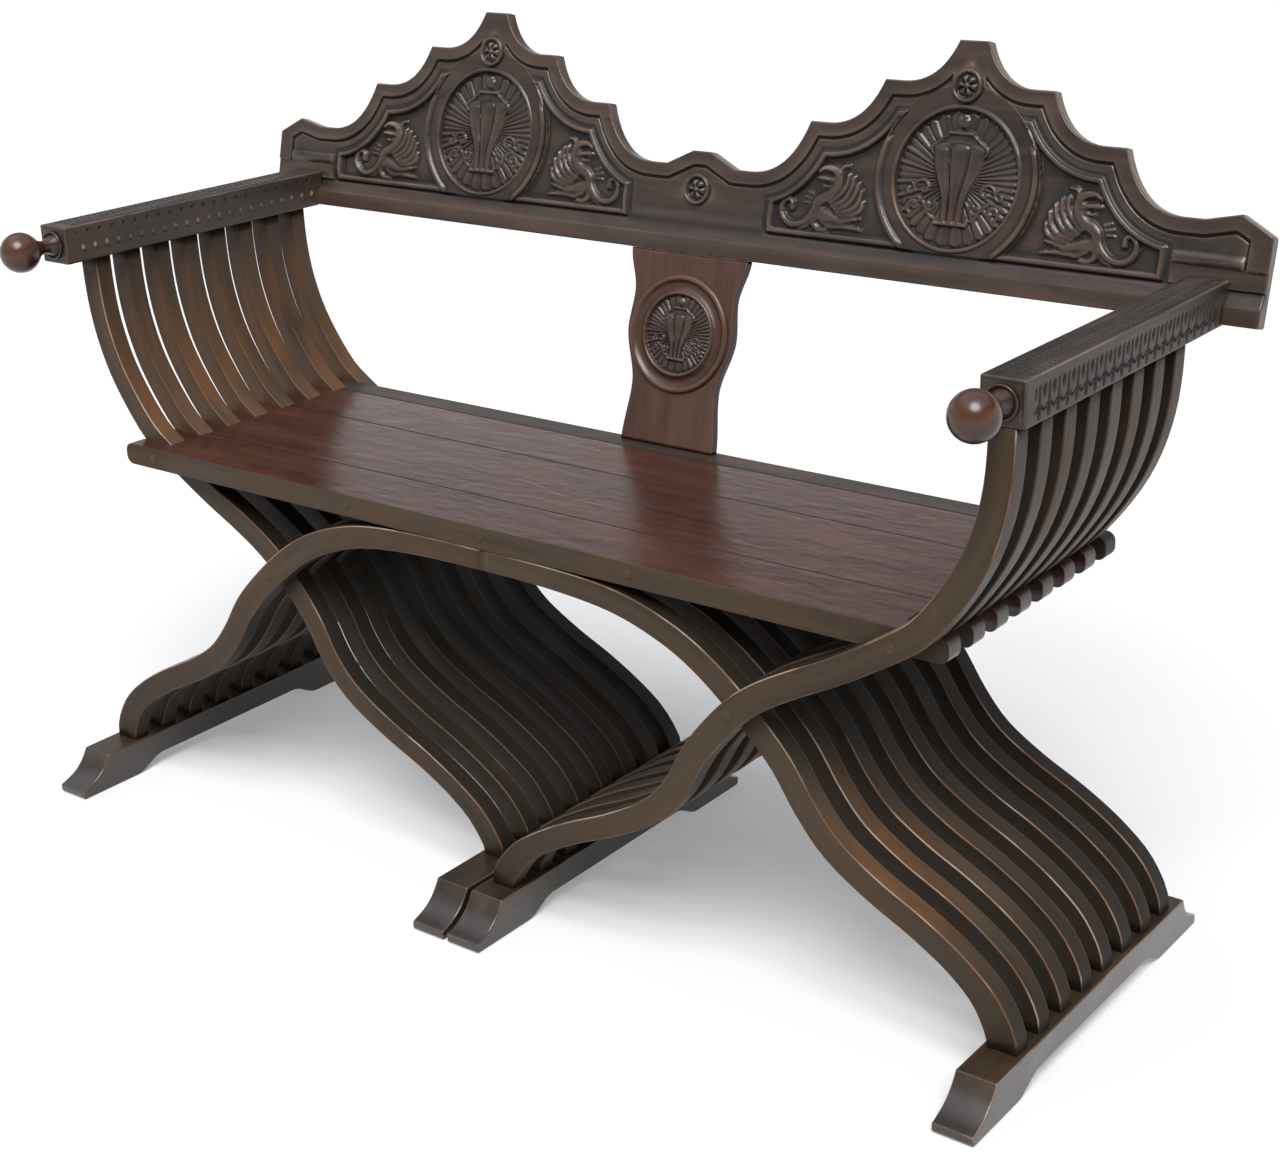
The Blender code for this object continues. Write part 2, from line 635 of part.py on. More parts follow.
def make_rods():
    last = 2 * SLATS_PER_SIDE - 1
    rows = (("left_crossing_rod", -CROSSING_X, CROSSING_Z, ARCH_PLANE, LEFT_ARM_PLANE + last),
            ("right_crossing_rod", CROSSING_X, CROSSING_Z, RIGHT_ARM_PLANE, ARCH_PLANE + last),
            ("left_seat_rod", -SEAT_ROD_X, SEAT_MIDDLE, ARCH_PLANE, LEFT_ARM_PLANE + last),
            ("right_seat_rod", SEAT_ROD_X, SEAT_MIDDLE, RIGHT_ARM_PLANE, ARCH_PLANE + last))
    for name, x, z, first, end in rows:
        make_rod(name, x, z, ROD_RADIUS, plane_front(first), plane_front(end), FRAME_WALNUT)
    for name, place in (("left", -1), ("centre", 0), ("right", 1)):
        make_rod(f"{name}_seat_dowel", place * DOWEL_SPACING, SEAT_MIDDLE, DOWEL_RADIUS,
                 plane_front(ARCH_PLANE), plane_front(ARCH_PLANE + last), FRAME_WALNUT)


# Crest rail

def scallop(start, end):
    """Hollow curve that drops steeply from start and runs out level at end."""
    run = end[0] - start[0]
    pull = (start[0] + SCALLOP_PULL * run, end[1])
    points = []
    for step in range(1, SCALLOP_STEPS + 1):
        t = step / SCALLOP_STEPS
        points.append(tuple((1 - t) ** 2 * a + 2 * t * (1 - t) * b + t * t * c
                            for a, b, c in zip(start, pull, end)))
    return points


def peak_side():
    """Stepped outline from the flat of a peak down to the dip, by distance from the peak."""
    run = PEAK_X - CENTRE_DIP_X
    corners = [(PEAK_FLAT, PEAK_RISE), *((share * run, rise) for share, rise in zip(STEP_SHARES, STEP_RISES)),
               (run, DIP_RISE)]
    side = [corners[0]]
    for start, end in zip(corners, corners[1:]):
        side += scallop(start, (end[0] - STEP_FLAT, end[1]))
        side.append(end)
    return side


def crest_outline():
    side = peak_side()
    outer = [(PEAK_X + away, rise) for away, rise in side]
    inner = [(PEAK_X - away, rise) for away, rise in side]
    half = [(CENTRE_BUMP_HALF, CENTRE_BUMP_RISE), *reversed(inner), *outer,
            (CREST_HALF_LENGTH - END_BUMP_INSET, END_BUMP_RISE),
            (CREST_HALF_LENGTH, END_CORNER_RISE), (CREST_HALF_LENGTH, 0.0)]
    return [*half, *((-x, rise) for x, rise in reversed(half))]


def relief_disc(name, radius, across, up, front):
    """Round raised ground of a carving, sunk into the board behind it."""
    sunk = RELIEF
    place = back_place(across, up, front + (RELIEF - sunk) / 2)
    return round_cutter(name, radius, RELIEF + sunk, place, pi / 2 - BACK_LEAN, ROUND_SIDES)


def make_crest():
    crest = outline_piece("crest_rail", [crest_outline()], CREST_THICKNESS, CARVED_WALNUT)
    lean_with_back(crest, -CREST_THICKNESS / 2)
    crest = as_mesh(crest)
    below = HOOK_HIGH
    slot_size = (HOOK_WIDTH + 2 * FIT, HOOK_HIGH + FIT + below, 2 * (HOOK_DEPTH + MORTISE_SLACK))
    for side, label in ((-1, "left"), (1, "right")):
        place = back_place(side * ARM_X, (HOOK_HIGH + FIT - below) / 2, 0.0)
        slot = box_cutter(f"{label}_hook_slot", slot_size, place, pi / 2 - BACK_LEAN)
        shape_with(crest, slot, "DIFFERENCE")
        medallion = relief_disc(f"{label}_medallion_ground", MEDALLION_RADIUS,
                                side * PEAK_X, MEDALLION_RISE, 0.0)
        shape_with(crest, medallion, "UNION")
        rosette = relief_disc(f"{label}_rosette_ground", ROSETTE_RADIUS,
                              side * PEAK_X, PEAK_ROSETTE_RISE, 0.0)
        shape_with(crest, rosette, "UNION")
    middle = relief_disc("centre_rosette_ground", ROSETTE_RADIUS, 0.0, CENTRE_ROSETTE_RISE, 0.0)
    shape_with(crest, middle, "UNION")
    mortise_size = (2 * (SPLAT_TOP_TENON_HALF + FIT), 2 * (SPLAT_TOP_TENON_LENGTH + MORTISE_SLACK),
                    SPLAT_TENON_THICKNESS + 2 * FIT)
    mortise = box_cutter("splat_mortise", mortise_size, back_place(0.0, 0.0, SPLAT_TOP_TENON_OUT),
                         pi / 2 - BACK_LEAN)
    shape_with(crest, mortise, "DIFFERENCE")


# Splat

def splat_side():
    """Right edge of the splat from the crest rail down, as half width and drop."""
    marks = ((0.0, SPLAT_TOP_HALF), (0.22, SPLAT_WAIST_HALF), (0.41, SPLAT_LOBE_HALF),
             (0.70, SPLAT_NECK_HALF), (1.0, SPLAT_FOOT_HALF))
    steps = 16
    shares = [step / steps for step in range(steps + 1)]
    return [(width_at(share, marks), -FIT - (SPLAT_LENGTH - FIT) * share) for share in shares]


def splat_foot_tenon(name, side, ease):
    """Stub tenon under the splat, or with ease the cutter of its mortise; it follows the lean of the back."""
    grip = 2 * SPLAT_FOOT_TENON_LENGTH
    slack = MORTISE_SLACK if ease else 0.0
    size = (SPLAT_FOOT_TENON_WIDTH + 2 * ease, SPLAT_FOOT_TENON_LENGTH + slack + grip,
            SPLAT_TENON_THICKNESS + 2 * ease)
    middle = -SPLAT_LENGTH + (grip - SPLAT_FOOT_TENON_LENGTH - slack) / 2
    place = back_place(side * SPLAT_FOOT_TENON_X, middle, SPLAT_MIDDLE_OUT)
    return box_cutter(name, size, place, pi / 2 - BACK_LEAN)


def make_splat():
    """Waisted board between seat and crest rail, cut level where it stands on the seat."""
    right = splat_side()
    foot_room = (SPLAT_FOOT_HALF, -SPLAT_LENGTH - SPLAT_THICKNESS)
    tongue = [(SPLAT_TOP_TENON_HALF, -FIT)]
    outline = [*tongue, *right, foot_room]
    outline += [(-x, up) for x, up in reversed(outline)]
    splat = outline_piece("splat", [outline], SPLAT_THICKNESS, CARVED_WALNUT)
    lean_with_back(splat, SPLAT_MIDDLE_OUT)
    splat = as_mesh(splat)
    deep = 4 * SPLAT_THICKNESS
    level = box_cutter("splat_level", (4 * SPLAT_FOOT_HALF, 1.0, deep),
                       (0.0, CREST_FOOT_Y, SEAT_HEIGHT + FIT - deep / 2))
    shape_with(splat, level, "DIFFERENCE")
    top_tenon_size = (2 * SPLAT_TOP_TENON_HALF, 2 * SPLAT_TOP_TENON_LENGTH, SPLAT_TENON_THICKNESS)
    top_tenon = box_cutter("splat_top_tenon", top_tenon_size, back_place(0.0, 0.0, SPLAT_TOP_TENON_OUT),
                           pi / 2 - BACK_LEAN)
    shape_with(splat, top_tenon, "UNION")
    for side, label in ((-1, "left"), (1, "right")):
        shape_with(splat, splat_foot_tenon(f"{label}_splat_foot_tenon", side, 0.0), "UNION")
    medallion = relief_disc("splat_medallion_ground", SPLAT_MEDALLION_RADIUS,
                            0.0, -SPLAT_MEDALLION_DROP, SPLAT_PROUD)
    shape_with(splat, medallion, "UNION")


# Assembly

make_feet()
make_slat_row("left_arch_slat", mirrored(arch_slat_loops()), ARCH_PLANE)
make_slat_row("right_arch_slat", arch_slat_loops(), ARCH_PLANE)
make_slat_row("left_arm_slat", mirrored(arm_slat_loops()), LEFT_ARM_PLANE)
make_slat_row("right_arm_slat", arm_slat_loops(), RIGHT_ARM_PLANE)
make_arm("left_arm", -ARM_X, LEFT_ARM_PLANE)
make_arm("right_arm", ARM_X, RIGHT_ARM_PLANE)
make_finial("left_finial", -ARM_X)
make_finial("right_finial", ARM_X)
make_seat([splat_foot_tenon("left_splat_foot_mortise", -1, FIT),
           splat_foot_tenon("right_splat_foot_mortise", 1, FIT)])
make_rods()
make_crest()
make_splat()
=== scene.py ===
"""Looks of a savonarola settee: slats, plank seat, arms and carved back in old stained walnut.

Metres, +Z up, the sitter looks along -Y and +X is the viewer's right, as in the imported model.
"""
from math import cos, pi, radians, sin, tan

import bmesh
import bpy
import numpy as np
from mathutils import Matrix, Vector


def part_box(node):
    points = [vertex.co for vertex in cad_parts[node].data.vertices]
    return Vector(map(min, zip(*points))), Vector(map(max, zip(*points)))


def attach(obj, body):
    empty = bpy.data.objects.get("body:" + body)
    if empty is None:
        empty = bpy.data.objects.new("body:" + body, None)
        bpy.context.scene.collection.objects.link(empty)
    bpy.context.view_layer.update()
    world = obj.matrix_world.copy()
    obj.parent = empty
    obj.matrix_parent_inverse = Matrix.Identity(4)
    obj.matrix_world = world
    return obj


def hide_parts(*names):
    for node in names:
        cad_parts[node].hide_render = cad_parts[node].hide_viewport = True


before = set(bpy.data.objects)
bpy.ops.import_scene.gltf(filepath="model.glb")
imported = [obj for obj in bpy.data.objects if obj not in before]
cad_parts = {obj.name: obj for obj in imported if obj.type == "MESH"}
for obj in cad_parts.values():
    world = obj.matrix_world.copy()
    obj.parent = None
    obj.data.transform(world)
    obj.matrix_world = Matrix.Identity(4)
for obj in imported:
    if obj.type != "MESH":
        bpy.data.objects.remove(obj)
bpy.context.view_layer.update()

MM = 0.001

# Sizes of the solids that the pieces follow
FIT = 0.0003
SLATS_PER_SIDE = 8
ARCH_FOOT_WIDTH = 0.034
ARCH_LEG_WIDTH = 0.029
ARM_FOOT_WIDTH = 0.030
ARM_LEG_WIDTH = 0.026
CROSSING_WIDTH = 0.030
SEAT_CROSSING_WIDTH = 0.0285
ARM_END_WIDTH = 0.028
CROWN_WIDTH = 0.0235
CROSSING = (0.337, 0.332)
SEAT_ROD_X = 0.5206
OUTER_FOOT_X = 0.6385
INNER_FOOT_X = 0.0255
FOOT_HEIGHT = 0.046
FOOT_NOSE_HEIGHT = 0.011
FOOT_BEVEL = 0.045
FOOT_REAR_BEVEL = 0.036
FOOT_BEVEL_DIP = 0.005
FOOT_PAD = 0.088
FOOT_COVE = 0.045
FOOT_ARCH_RISE = 0.016
SEAT_HEIGHT = 0.460
SEAT_THICKNESS = 0.026
SEAT_END_RADIUS = 0.010
ARM_X = 0.6284
ARM_TOP = 0.723
ARM_UNDERSIDE = 0.679
COLLAR_RADIUS = 0.0165
COLLAR_LENGTH = 0.007
NECK_RADIUS = 0.0095
NECK_LENGTH = 0.018
BALL_RADIUS = 0.0235
BACK_LEAN = radians(14.0)
CREST_THICKNESS = 0.015
CREST_HALF_LENGTH = 0.688
PEAK_X = 0.332
PEAK_RISE = 0.260
PEAK_FLAT = 0.017
STEP_RISES = (0.214, 0.163)
STEP_SHARES = (0.356, 0.666)
STEP_FLAT = 0.023
DIP_RISE = 0.101
CENTRE_DIP_X = 0.048
END_BUMP = (0.653, 0.109)
END_CORNER_RISE = 0.090
CENTRE_BUMP = (0.012, 0.118)
SCALLOP_PULL = 0.3
MEDALLION_RISE = 0.1145
MEDALLION_RADIUS = 0.098
PEAK_ROSETTE_RISE = 0.2125
CENTRE_ROSETTE_RISE = 0.074
SPLAT_THICKNESS = 0.011
SPLAT_PROUD = 0.002
SPLAT_MARKS = ((0.0, 0.083), (0.22, 0.0715), (0.41, 0.0755), (0.70, 0.0605), (1.0, 0.067))
SPLAT_MEDALLION_DROP = 0.094
SEAT_UNDERSIDE = SEAT_HEIGHT - SEAT_THICKNESS
SEAT_MIDDLE = SEAT_HEIGHT - SEAT_THICKNESS / 2
CREST_BOTTOM = ARM_UNDERSIDE + 0.001
ARM_FRONT_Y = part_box("right_arm")[0].y
CREST_FOOT_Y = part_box("crest_rail")[1].y - PEAK_RISE * sin(BACK_LEAN) - CREST_THICKNESS * cos(BACK_LEAN)

# Sweeps of the slats, as shares of the run and of the rise
ARCH_LEG_SWEEP = ((0.055, 0.15), (0.16, 0.26), (0.31, 0.36), (0.49, 0.455), (0.643, 0.56), (0.748, 0.685),
                  (0.85, 0.842))
ARM_LEG_SWEEP = ((0.066, 0.138), (0.174, 0.236), (0.323, 0.330), (0.503, 0.422), (0.672, 0.530), (0.780, 0.655),
                 (0.868, 0.825))
SEAT_SWEEP = ((0.181, 0.245), (0.40, 0.453), (0.67, 0.679))
ARM_SWEEP = ((0.32, 0.115), (0.665, 0.335), (0.86, 0.53), (0.97, 0.746))
CROWN_SWEEP = ((0.139, 0.412), (0.278, 0.69), (0.465, 0.90), (0.703, 0.985))


# Materials

def linear(code):
    """Linear colour of an sRGB hex value such as 4a3424."""
    parts = [int(code[i:i + 2], 16) / 255 for i in (0, 2, 4)]
    return (*((p / 12.92 if p <= 0.04045 else ((p + 0.055) / 1.055) ** 2.4) for p in parts), 1.0)


def add(tree, kind, settings=None, sockets=None):
    """Add a node; settings are its own values, and sockets take a value or another node's output."""
    node = tree.nodes.new("ShaderNode" + kind)
    for name, value in (settings or {}).items():
        setattr(node, name, value)
    for name, value in (sockets or {}).items():
        if isinstance(value, bpy.types.NodeSocket):
            tree.links.new(value, node.inputs[name])
        else:
            node.inputs[name].default_value = value
    return node


def reckon(tree, operation, *values, clamp=False):
    """Output of a Math node."""
    node = add(tree, "Math", {"operation": operation, "use_clamp": clamp}, dict(enumerate(values)))
    return node.outputs[0]


def blend(tree, share, first, second):
    """Output of a Mix node between two colours."""
    return add(tree, "Mix", {"data_type": "RGBA"}, {0: share, 6: first, 7: second}).outputs[2]


def remap(tree, value, low, high, to_low=0.0, to_high=1.0):
    """Output of a Map Range node that takes low and high to to_low and to_high."""
    return add(tree, "MapRange", None, {"Value": value, "From Min": low, "From Max": high, "To Min": to_low,
                                        "To Max": to_high}).outputs[0]


FIBRE = (60 * MM, 2.2 * MM)      # length and width of a streak; real walnut's are finer than the render shows
FIGURE = (260 * MM, 22 * MM)     # light and dark bands of the board
PATCH = (120 * MM, 50 * MM)      # rubbed and faded places
TOOL_MARK = (38 * MM, 16 * MM)   # shallow waves left by plane and gouge
EDGE_TONE = "a0968a"             # bare wood on corners, in a pale grey that paints their sheen


def walnut(name, tones, worn, grime_and_shade, roughness, gloss, coat, tool_depth, streaks):
    """Stained walnut under old wax: streaked brown, rubbed in places, dark and dull in hollows and where shade is
    painted.

    Wear of 1 shows the worn colour and 2 bare wood in a pale tone that paints its sheen; -1 is darkest, with dirt
    in carved hollows and painted shade on other pieces.
    """
    deep, body, pale = tones
    material = bpy.data.materials.new(name)
    material.use_nodes = True
    tree = material.node_tree
    tree.nodes.clear()
    grain = add(tree, "Attribute", {"attribute_name": "grain"}).outputs["Vector"]
    wear_and_painted_light = add(tree, "Attribute", {"attribute_name": "wear_and_painted_light"}).outputs["Fac"]
    patterns = {}
    for label, (long, wide), detail in (("fibre", FIBRE, 4.0), ("figure", FIGURE, 3.0), ("patch", PATCH, 3.0),
                                        ("tool", TOOL_MARK, 1.0)):
        spread = add(tree, "VectorMath", {"operation": "MULTIPLY"}, {0: grain, 1: (1 / long, 1 / wide, 1 / wide)})
        noise = add(tree, "TexNoise", None, {"Vector": spread.outputs[0], "Scale": 1.0, "Detail": detail,
                                             "Roughness": 0.6, "Distortion": 0.4})
        patterns[label] = noise.outputs["Fac"]
    streak = reckon(tree, "MULTIPLY_ADD", patterns["fibre"], streaks, -streaks / 2)
    ramp = add(tree, "ValToRGB", None, {"Fac": reckon(tree, "ADD", streak, patterns["figure"])})
    ramp.color_ramp.elements[0].position = 0.27
    ramp.color_ramp.elements[0].color = linear(deep)
    ramp.color_ramp.elements[1].position = 0.76
    ramp.color_ramp.elements[1].color = linear(pale)
    ramp.color_ramp.elements.new(0.50).color = linear(body)
    rub = remap(tree, patterns["patch"], 0.40, 0.62, 0.3)
    edge = reckon(tree, "MULTIPLY", wear_and_painted_light, rub)
    faded = remap(tree, patterns["patch"], 0.52, 0.78, 0.0, 0.35)
    thin = reckon(tree, "MAXIMUM", edge, faded, clamp=True)
    rubbed = blend(tree, thin, ramp.outputs[0], linear(worn))
    # Wear past 0.95 turns to the pale edge tone: worn corners, and a painted sheen on them
    pale_edge = remap(tree, edge, 0.95, 1.7)
    with_pale_edges = blend(tree, pale_edge, rubbed, linear(EDGE_TONE))
    # Negative wear blends to the grime colour: dirt in carved hollows, and painted shade on slats, feet and splat
    dark_share = remap(tree, wear_and_painted_light, 0.0, -1.0, 0.0, 0.95)
    colour = blend(tree, dark_share, with_pale_edges, linear(grime_and_shade))
    shine = remap(tree, patterns["patch"], 0.3, 0.7, roughness - 0.07, roughness + 0.08)
    dull = reckon(tree, "MULTIPLY_ADD", dark_share, 0.25, shine)
    fibres = add(tree, "Bump", None, {"Strength": 0.25, "Distance": 0.0004, "Height": patterns["fibre"]})
    waves = add(tree, "Bump", None, {"Strength": 0.5, "Distance": tool_depth, "Height": patterns["tool"],
                                     "Normal": fibres.outputs[0]})
    shader = add(tree, "BsdfPrincipled", None, {
        "Base Color": colour, "Roughness": dull, "Normal": waves.outputs[0], "IOR": 1.5,
        "Specular IOR Level": gloss, "Coat Weight": coat, "Coat Roughness": 0.2})
    add(tree, "OutputMaterial", None, {"Surface": shader.outputs[0]})
    return material


# Slats: rubbed with oil, brown with an olive cast, orange where hands and shoes wear them
SLAT_WALNUT = walnut("walnut_oiled_slats", ("382d21", "4a3c2d", "584735"), "7b5231", "0a0907", roughness=0.46,
                     gloss=0.3, coat=0.0, tool_depth=1.2 * MM, streaks=0.22)
# Feet: the same wood, waxed and knocked smooth, so that the slopes shine
FOOT_WALNUT = walnut("walnut_waxed_feet", ("281f17", "382c21", "483829"), "6a4e31", "0d0b09", roughness=0.30,
                     gloss=0.5, coat=0.7, tool_depth=1.0 * MM, streaks=0.25)
# Seat: planed flat and polished by use, redder, with a wide sheen
SEAT_WALNUT = walnut("walnut_polished_seat", ("341f1a", "482a21", "59372c"), "63402f", "0d0908", roughness=0.25,
                     gloss=0.5, coat=0.15, tool_depth=0.9 * MM, streaks=0.5)
# Crest rail: carved and waxed, old wax in the hollows
CARVED_WALNUT = walnut("walnut_waxed_carving", ("2b241d", "3f322a", "5a4136"), "6c5a4b", "050404", roughness=0.31,
                       gloss=0.5, coat=0.15, tool_depth=1.2 * MM, streaks=0.2)
# Arms and the seat's rear strip: waxed, darker and greyer
ARM_WALNUT = walnut("walnut_waxed_arms", ("26201b", "362c25", "463930"), "6f5f50", "060504", roughness=0.45,
                    gloss=0.5, coat=0.0, tool_depth=1.0 * MM, streaks=0.2)
# Splat: planed and waxed, a warm even brown
SPLAT_WALNUT = walnut("walnut_waxed_splat", ("3f2a21", "52382b", "5f4233"), "6d5040", "0a0706", roughness=0.33,
                      gloss=0.5, coat=0.1, tool_depth=1.2 * MM, streaks=0.3)
# Finials: turned smooth and handled until they shine
TURNED_WALNUT = walnut("walnut_turned_finial", ("301b10", "482b1b", "5e3a24"), "70482c", "0d0806", roughness=0.25,
                       gloss=0.5, coat=0.15, tool_depth=0.4 * MM, streaks=0.3)


# Pieces

def add_piece(name, points, faces, grain, wear_and_painted_light, finish, slot, body, *nodes):
    """Make a piece in place from its points and faces, with the run of the grain and the wear and painted light
    and shade at each point.
    """
    mesh = bpy.data.meshes.new(name)
    mesh.from_pydata([tuple(p) for p in points], [], faces)
    shape = bmesh.new()
    shape.from_mesh(mesh)
    bmesh.ops.recalc_face_normals(shape, faces=shape.faces)
    shape.to_mesh(mesh)
    shape.free()
    mesh.attributes.new("grain", "FLOAT_VECTOR", "POINT").data.foreach_set(
        "vector", np.asarray(grain, np.float32).ravel())
    # This attribute carries wear and dirt, and on some pieces painted light and shade as well
    mesh.attributes.new("wear_and_painted_light", "FLOAT", "POINT").data.foreach_set("value", np.asarray(wear_and_painted_light, np.float32).ravel())
    mesh.shade_smooth()
    mesh.materials.append(finish)
    piece = bpy.data.objects.new(name, mesh)
    bpy.context.scene.collection.objects.link(piece)
    piece.modifiers.new("even_shading", "WEIGHTED_NORMAL").keep_sharp = True
    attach(piece, body)
    if nodes:
        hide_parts(*nodes)
    return piece


def ring_faces(count, around):
    """Quads between closed rings of points, and a cap on the first and last ring."""
    faces = []
    for ring in range(count - 1):
        start = ring * around
        for spot in range(around):
            beside = (spot + 1) % around
            faces.append((start + spot, start + beside, start + around + beside, start + around + spot))
    return [*faces, tuple(range(around)), tuple(range((count - 1) * around, count * around))]


def add_rings(name, rings, grain, wear_and_painted_light, *rest):
    """A piece from an array of closed rings."""
    count, around = rings.shape[:2]
    return add_piece(name, rings.reshape(-1, 3), ring_faces(count, around), grain.reshape(-1, 3), wear_and_painted_light.ravel(),
                     *rest)


STRIP_BEND = radians(28)    # about the bend between two strips of a rounded edge
SHARP_BEND = 0.8            # share of it from which a point counts as lying on an edge


def edge_bend(vert):
    """How sharply the surface bends at a point: 1 on a rounded edge, -1 in an inner corner."""
    bends = [edge.calc_face_angle_signed(0.0) for edge in vert.link_edges]
    return max(-1.0, min(1.0, max(bends, key=abs) / STRIP_BEND))


def add_solid(name, shape, grain_axes, shift, wear_and_shade_rule, *rest):
    """A piece from a bmesh, its grain along the first of grain_axes; the rule given after the shift turns bends at
    points into wear, dirt and painted shade.
    """
    shape.verts.ensure_lookup_table()
    shape.normal_update()
    points = np.array([v.co for v in shape.verts])
    wear_and_painted_light = wear_and_shade_rule(points, np.array([edge_bend(v) for v in shape.verts]))
    faces = [[v.index for v in face.verts] for face in shape.faces]
    shape.free()
    return add_piece(name, points, faces, points[:, grain_axes] + shift, wear_and_painted_light, *rest)


def prism(outline, place, near, far):
    """A bmesh of an outline carried from near to far; place turns its points into space."""
    shape = bmesh.new()
    ends = [[shape.verts.new(place(u, v, depth)) for u, v in outline] for depth in (near, far)]
    for end in ends:
        shape.faces.new(end)
    count = len(outline)
    for i in range(count):
        j = (i + 1) % count
        shape.faces.new((ends[0][i], ends[0][j], ends[1][j], ends[1][i]))
    bmesh.ops.recalc_face_normals(shape, faces=shape.faces)
    return shape


def round_edges(shape, radius, sharper_than=radians(35)):
    """Round the edges of a bmesh that are sharper than an angle."""
    sharp = [edge for edge in shape.edges if edge.calc_face_angle(0.0) > sharper_than]
    bmesh.ops.bevel(shape, geom=sharp, offset=radius, segments=3, profile=0.5, affect="EDGES", clamp_overlap=True)


# Curves and sections

def smooth_through(points, before=None, after=None, steps=16):
    """Catmull-Rom curve through points; before and after steer its ends, which else run straight on."""
    knots = np.array(points, float)
    first = 2 * knots[0] - knots[1] if before is None else np.array(before)
    last = 2 * knots[-1] - knots[-2] if after is None else np.array(after)
    knots = np.vstack([first, knots, last])
    t = np.arange(steps)[:, None] / steps
    curve = []
    for a, b, c, d in zip(knots, knots[1:], knots[2:], knots[3:]):
        curve.append(0.5 * (2 * b + (c - a) * t + (2 * a - 5 * b + 4 * c - d) * t ** 2
                            + (3 * b - a - 3 * c + d) * t ** 3))
    return np.vstack([*curve, knots[-2]])


def even_stations(curve, steps):
    """Places, directions and lengths at equal steps along a curve."""
    lengths = np.concatenate([[0.0], np.cumsum(np.linalg.norm(np.diff(curve, axis=0), axis=1))])
    at = np.linspace(0.0, lengths[-1], steps + 1)
    places = np.column_stack([np.interp(at, lengths, axis) for axis in curve.T])
    directions = np.gradient(places, axis=0)
    return places, directions / np.linalg.norm(directions, axis=1)[:, None], at


def eased(share, marks):
    """Value at each share of the way, eased between marked values."""
    shares, values = np.array(marks).T
    spot = np.clip(np.searchsorted(shares, share, side="right") - 1, 0, len(shares) - 2)
    t = np.clip((share - shares[spot]) / (shares[spot + 1] - shares[spot]), 0.0, 1.0)
    return values[spot] + (values[spot + 1] - values[spot]) * t * t * (3 - 2 * t)


def section(wide, high, radius, between=0, corner_steps=4):
    """Points, outward directions and edge wear round a rectangle with rounded corners.

    It starts low on the right-hand side and goes up; between adds points along each side.
    """
    turns = np.linspace(0.0, pi / 2, corner_steps + 1)
    corners = np.array([(1, 1), (-1, 1), (-1, -1), (1, -1), (1, 1)]) * (wide / 2 - radius, high / 2 - radius)
    spots, outward, wear_and_painted_light = [], [], []
    for quarter in range(4):
        for turn in turns:
            angle = turn + quarter * pi / 2
            outward.append((cos(angle), sin(angle)))
            spots.append(corners[quarter] + radius * np.array(outward[-1]))
            wear_and_painted_light.append(sin(2 * turn))
        for step in range(1, between + 1):
            outward.append(outward[-1])
            spots.append(corners[quarter] + (corners[quarter + 1] - corners[quarter]) * step / (between + 1)
                         + radius * np.array(outward[-1]))
            wear_and_painted_light.append(0.0)
    return np.array(spots), np.array(outward), np.array(wear_and_painted_light)


# Slats

SLAT_STEPS = 64
SLAT_ROUNDING = 0.0018
SLAT_SINK = 0.003            # end of a slat inside its foot and arm
SEAM_SHARE = 0.1             # of the solids' gap is left open where two arch slats meet
EDGE_WEAR = 2.2
REAR_EDGE_WEAR = EDGE_WEAR / 5    # on the arm slats behind the first
SITTER_RUB = 0.75            # on the faces that a sitter touches, most of all near the seat
SITTER_REACH = 0.12
GAP_SHADE = -0.7              # painted shade on the faces that slats turn to each other
LEFT_GAP_LIGHT = 0.5           # painted light on those of the left arm above the seat, in place of that shade
UNDER_SEAT_SHADE = -0.8            # painted shade on the faces turned to the middle under the seat
LEG_DARKENING = -0.8                  # darker on the upper faces of the outer legs, and painted shade on the front arm slats' inner faces under the seat
HEEL_RUB = (0.180, 0.065)    # height and reach of the place that heels rub
HEEL_WEAR = 0.95
HEEL_FADE = (1.15, 0.19)     # share of it before the first slat, and what each slat takes off
LOW_DARKENING = -0.6              # darker on the front faces near the floor
LOW_REACH = 0.20


def along_sweep(start, end, shares):
    """Points between two places, given as shares of the way across and up."""
    return [(start[0] + a * (end[0] - start[0]), start[1] + u * (end[1] - start[1])) for a, u in shares]


def leg_path(foot_x, sweep):
    foot = (foot_x, FOOT_HEIGHT + FIT)
    return [foot, *along_sweep(foot, CROSSING, sweep), CROSSING]


def arm_slat_line():
    """Middle line of an arm slat, its directions, lengths and widths."""
    rod = (SEAT_ROD_X, SEAT_MIDDLE)
    arm = (ARM_X, ARM_UNDERSIDE - FIT)
    path = [*leg_path(INNER_FOOT_X, ARM_LEG_SWEEP), *along_sweep(CROSSING, rod, SEAT_SWEEP), rod,
            *along_sweep(rod, arm, ARM_SWEEP), arm]
    after = (path[-2][0], 2 * path[-1][1] - path[-2][1])
    marks = ((0.0, ARM_FOOT_WIDTH), (0.12, ARM_LEG_WIDTH), (0.45, CROSSING_WIDTH), (0.68, SEAT_CROSSING_WIDTH),
             (1.0, ARM_END_WIDTH))
    places, directions, at = slat_line(path, after)
    directions[-1] = (0.0, 1.0)
    places[-1, 1] += SLAT_SINK
    return places, directions, at, eased(at / at[-1], marks)


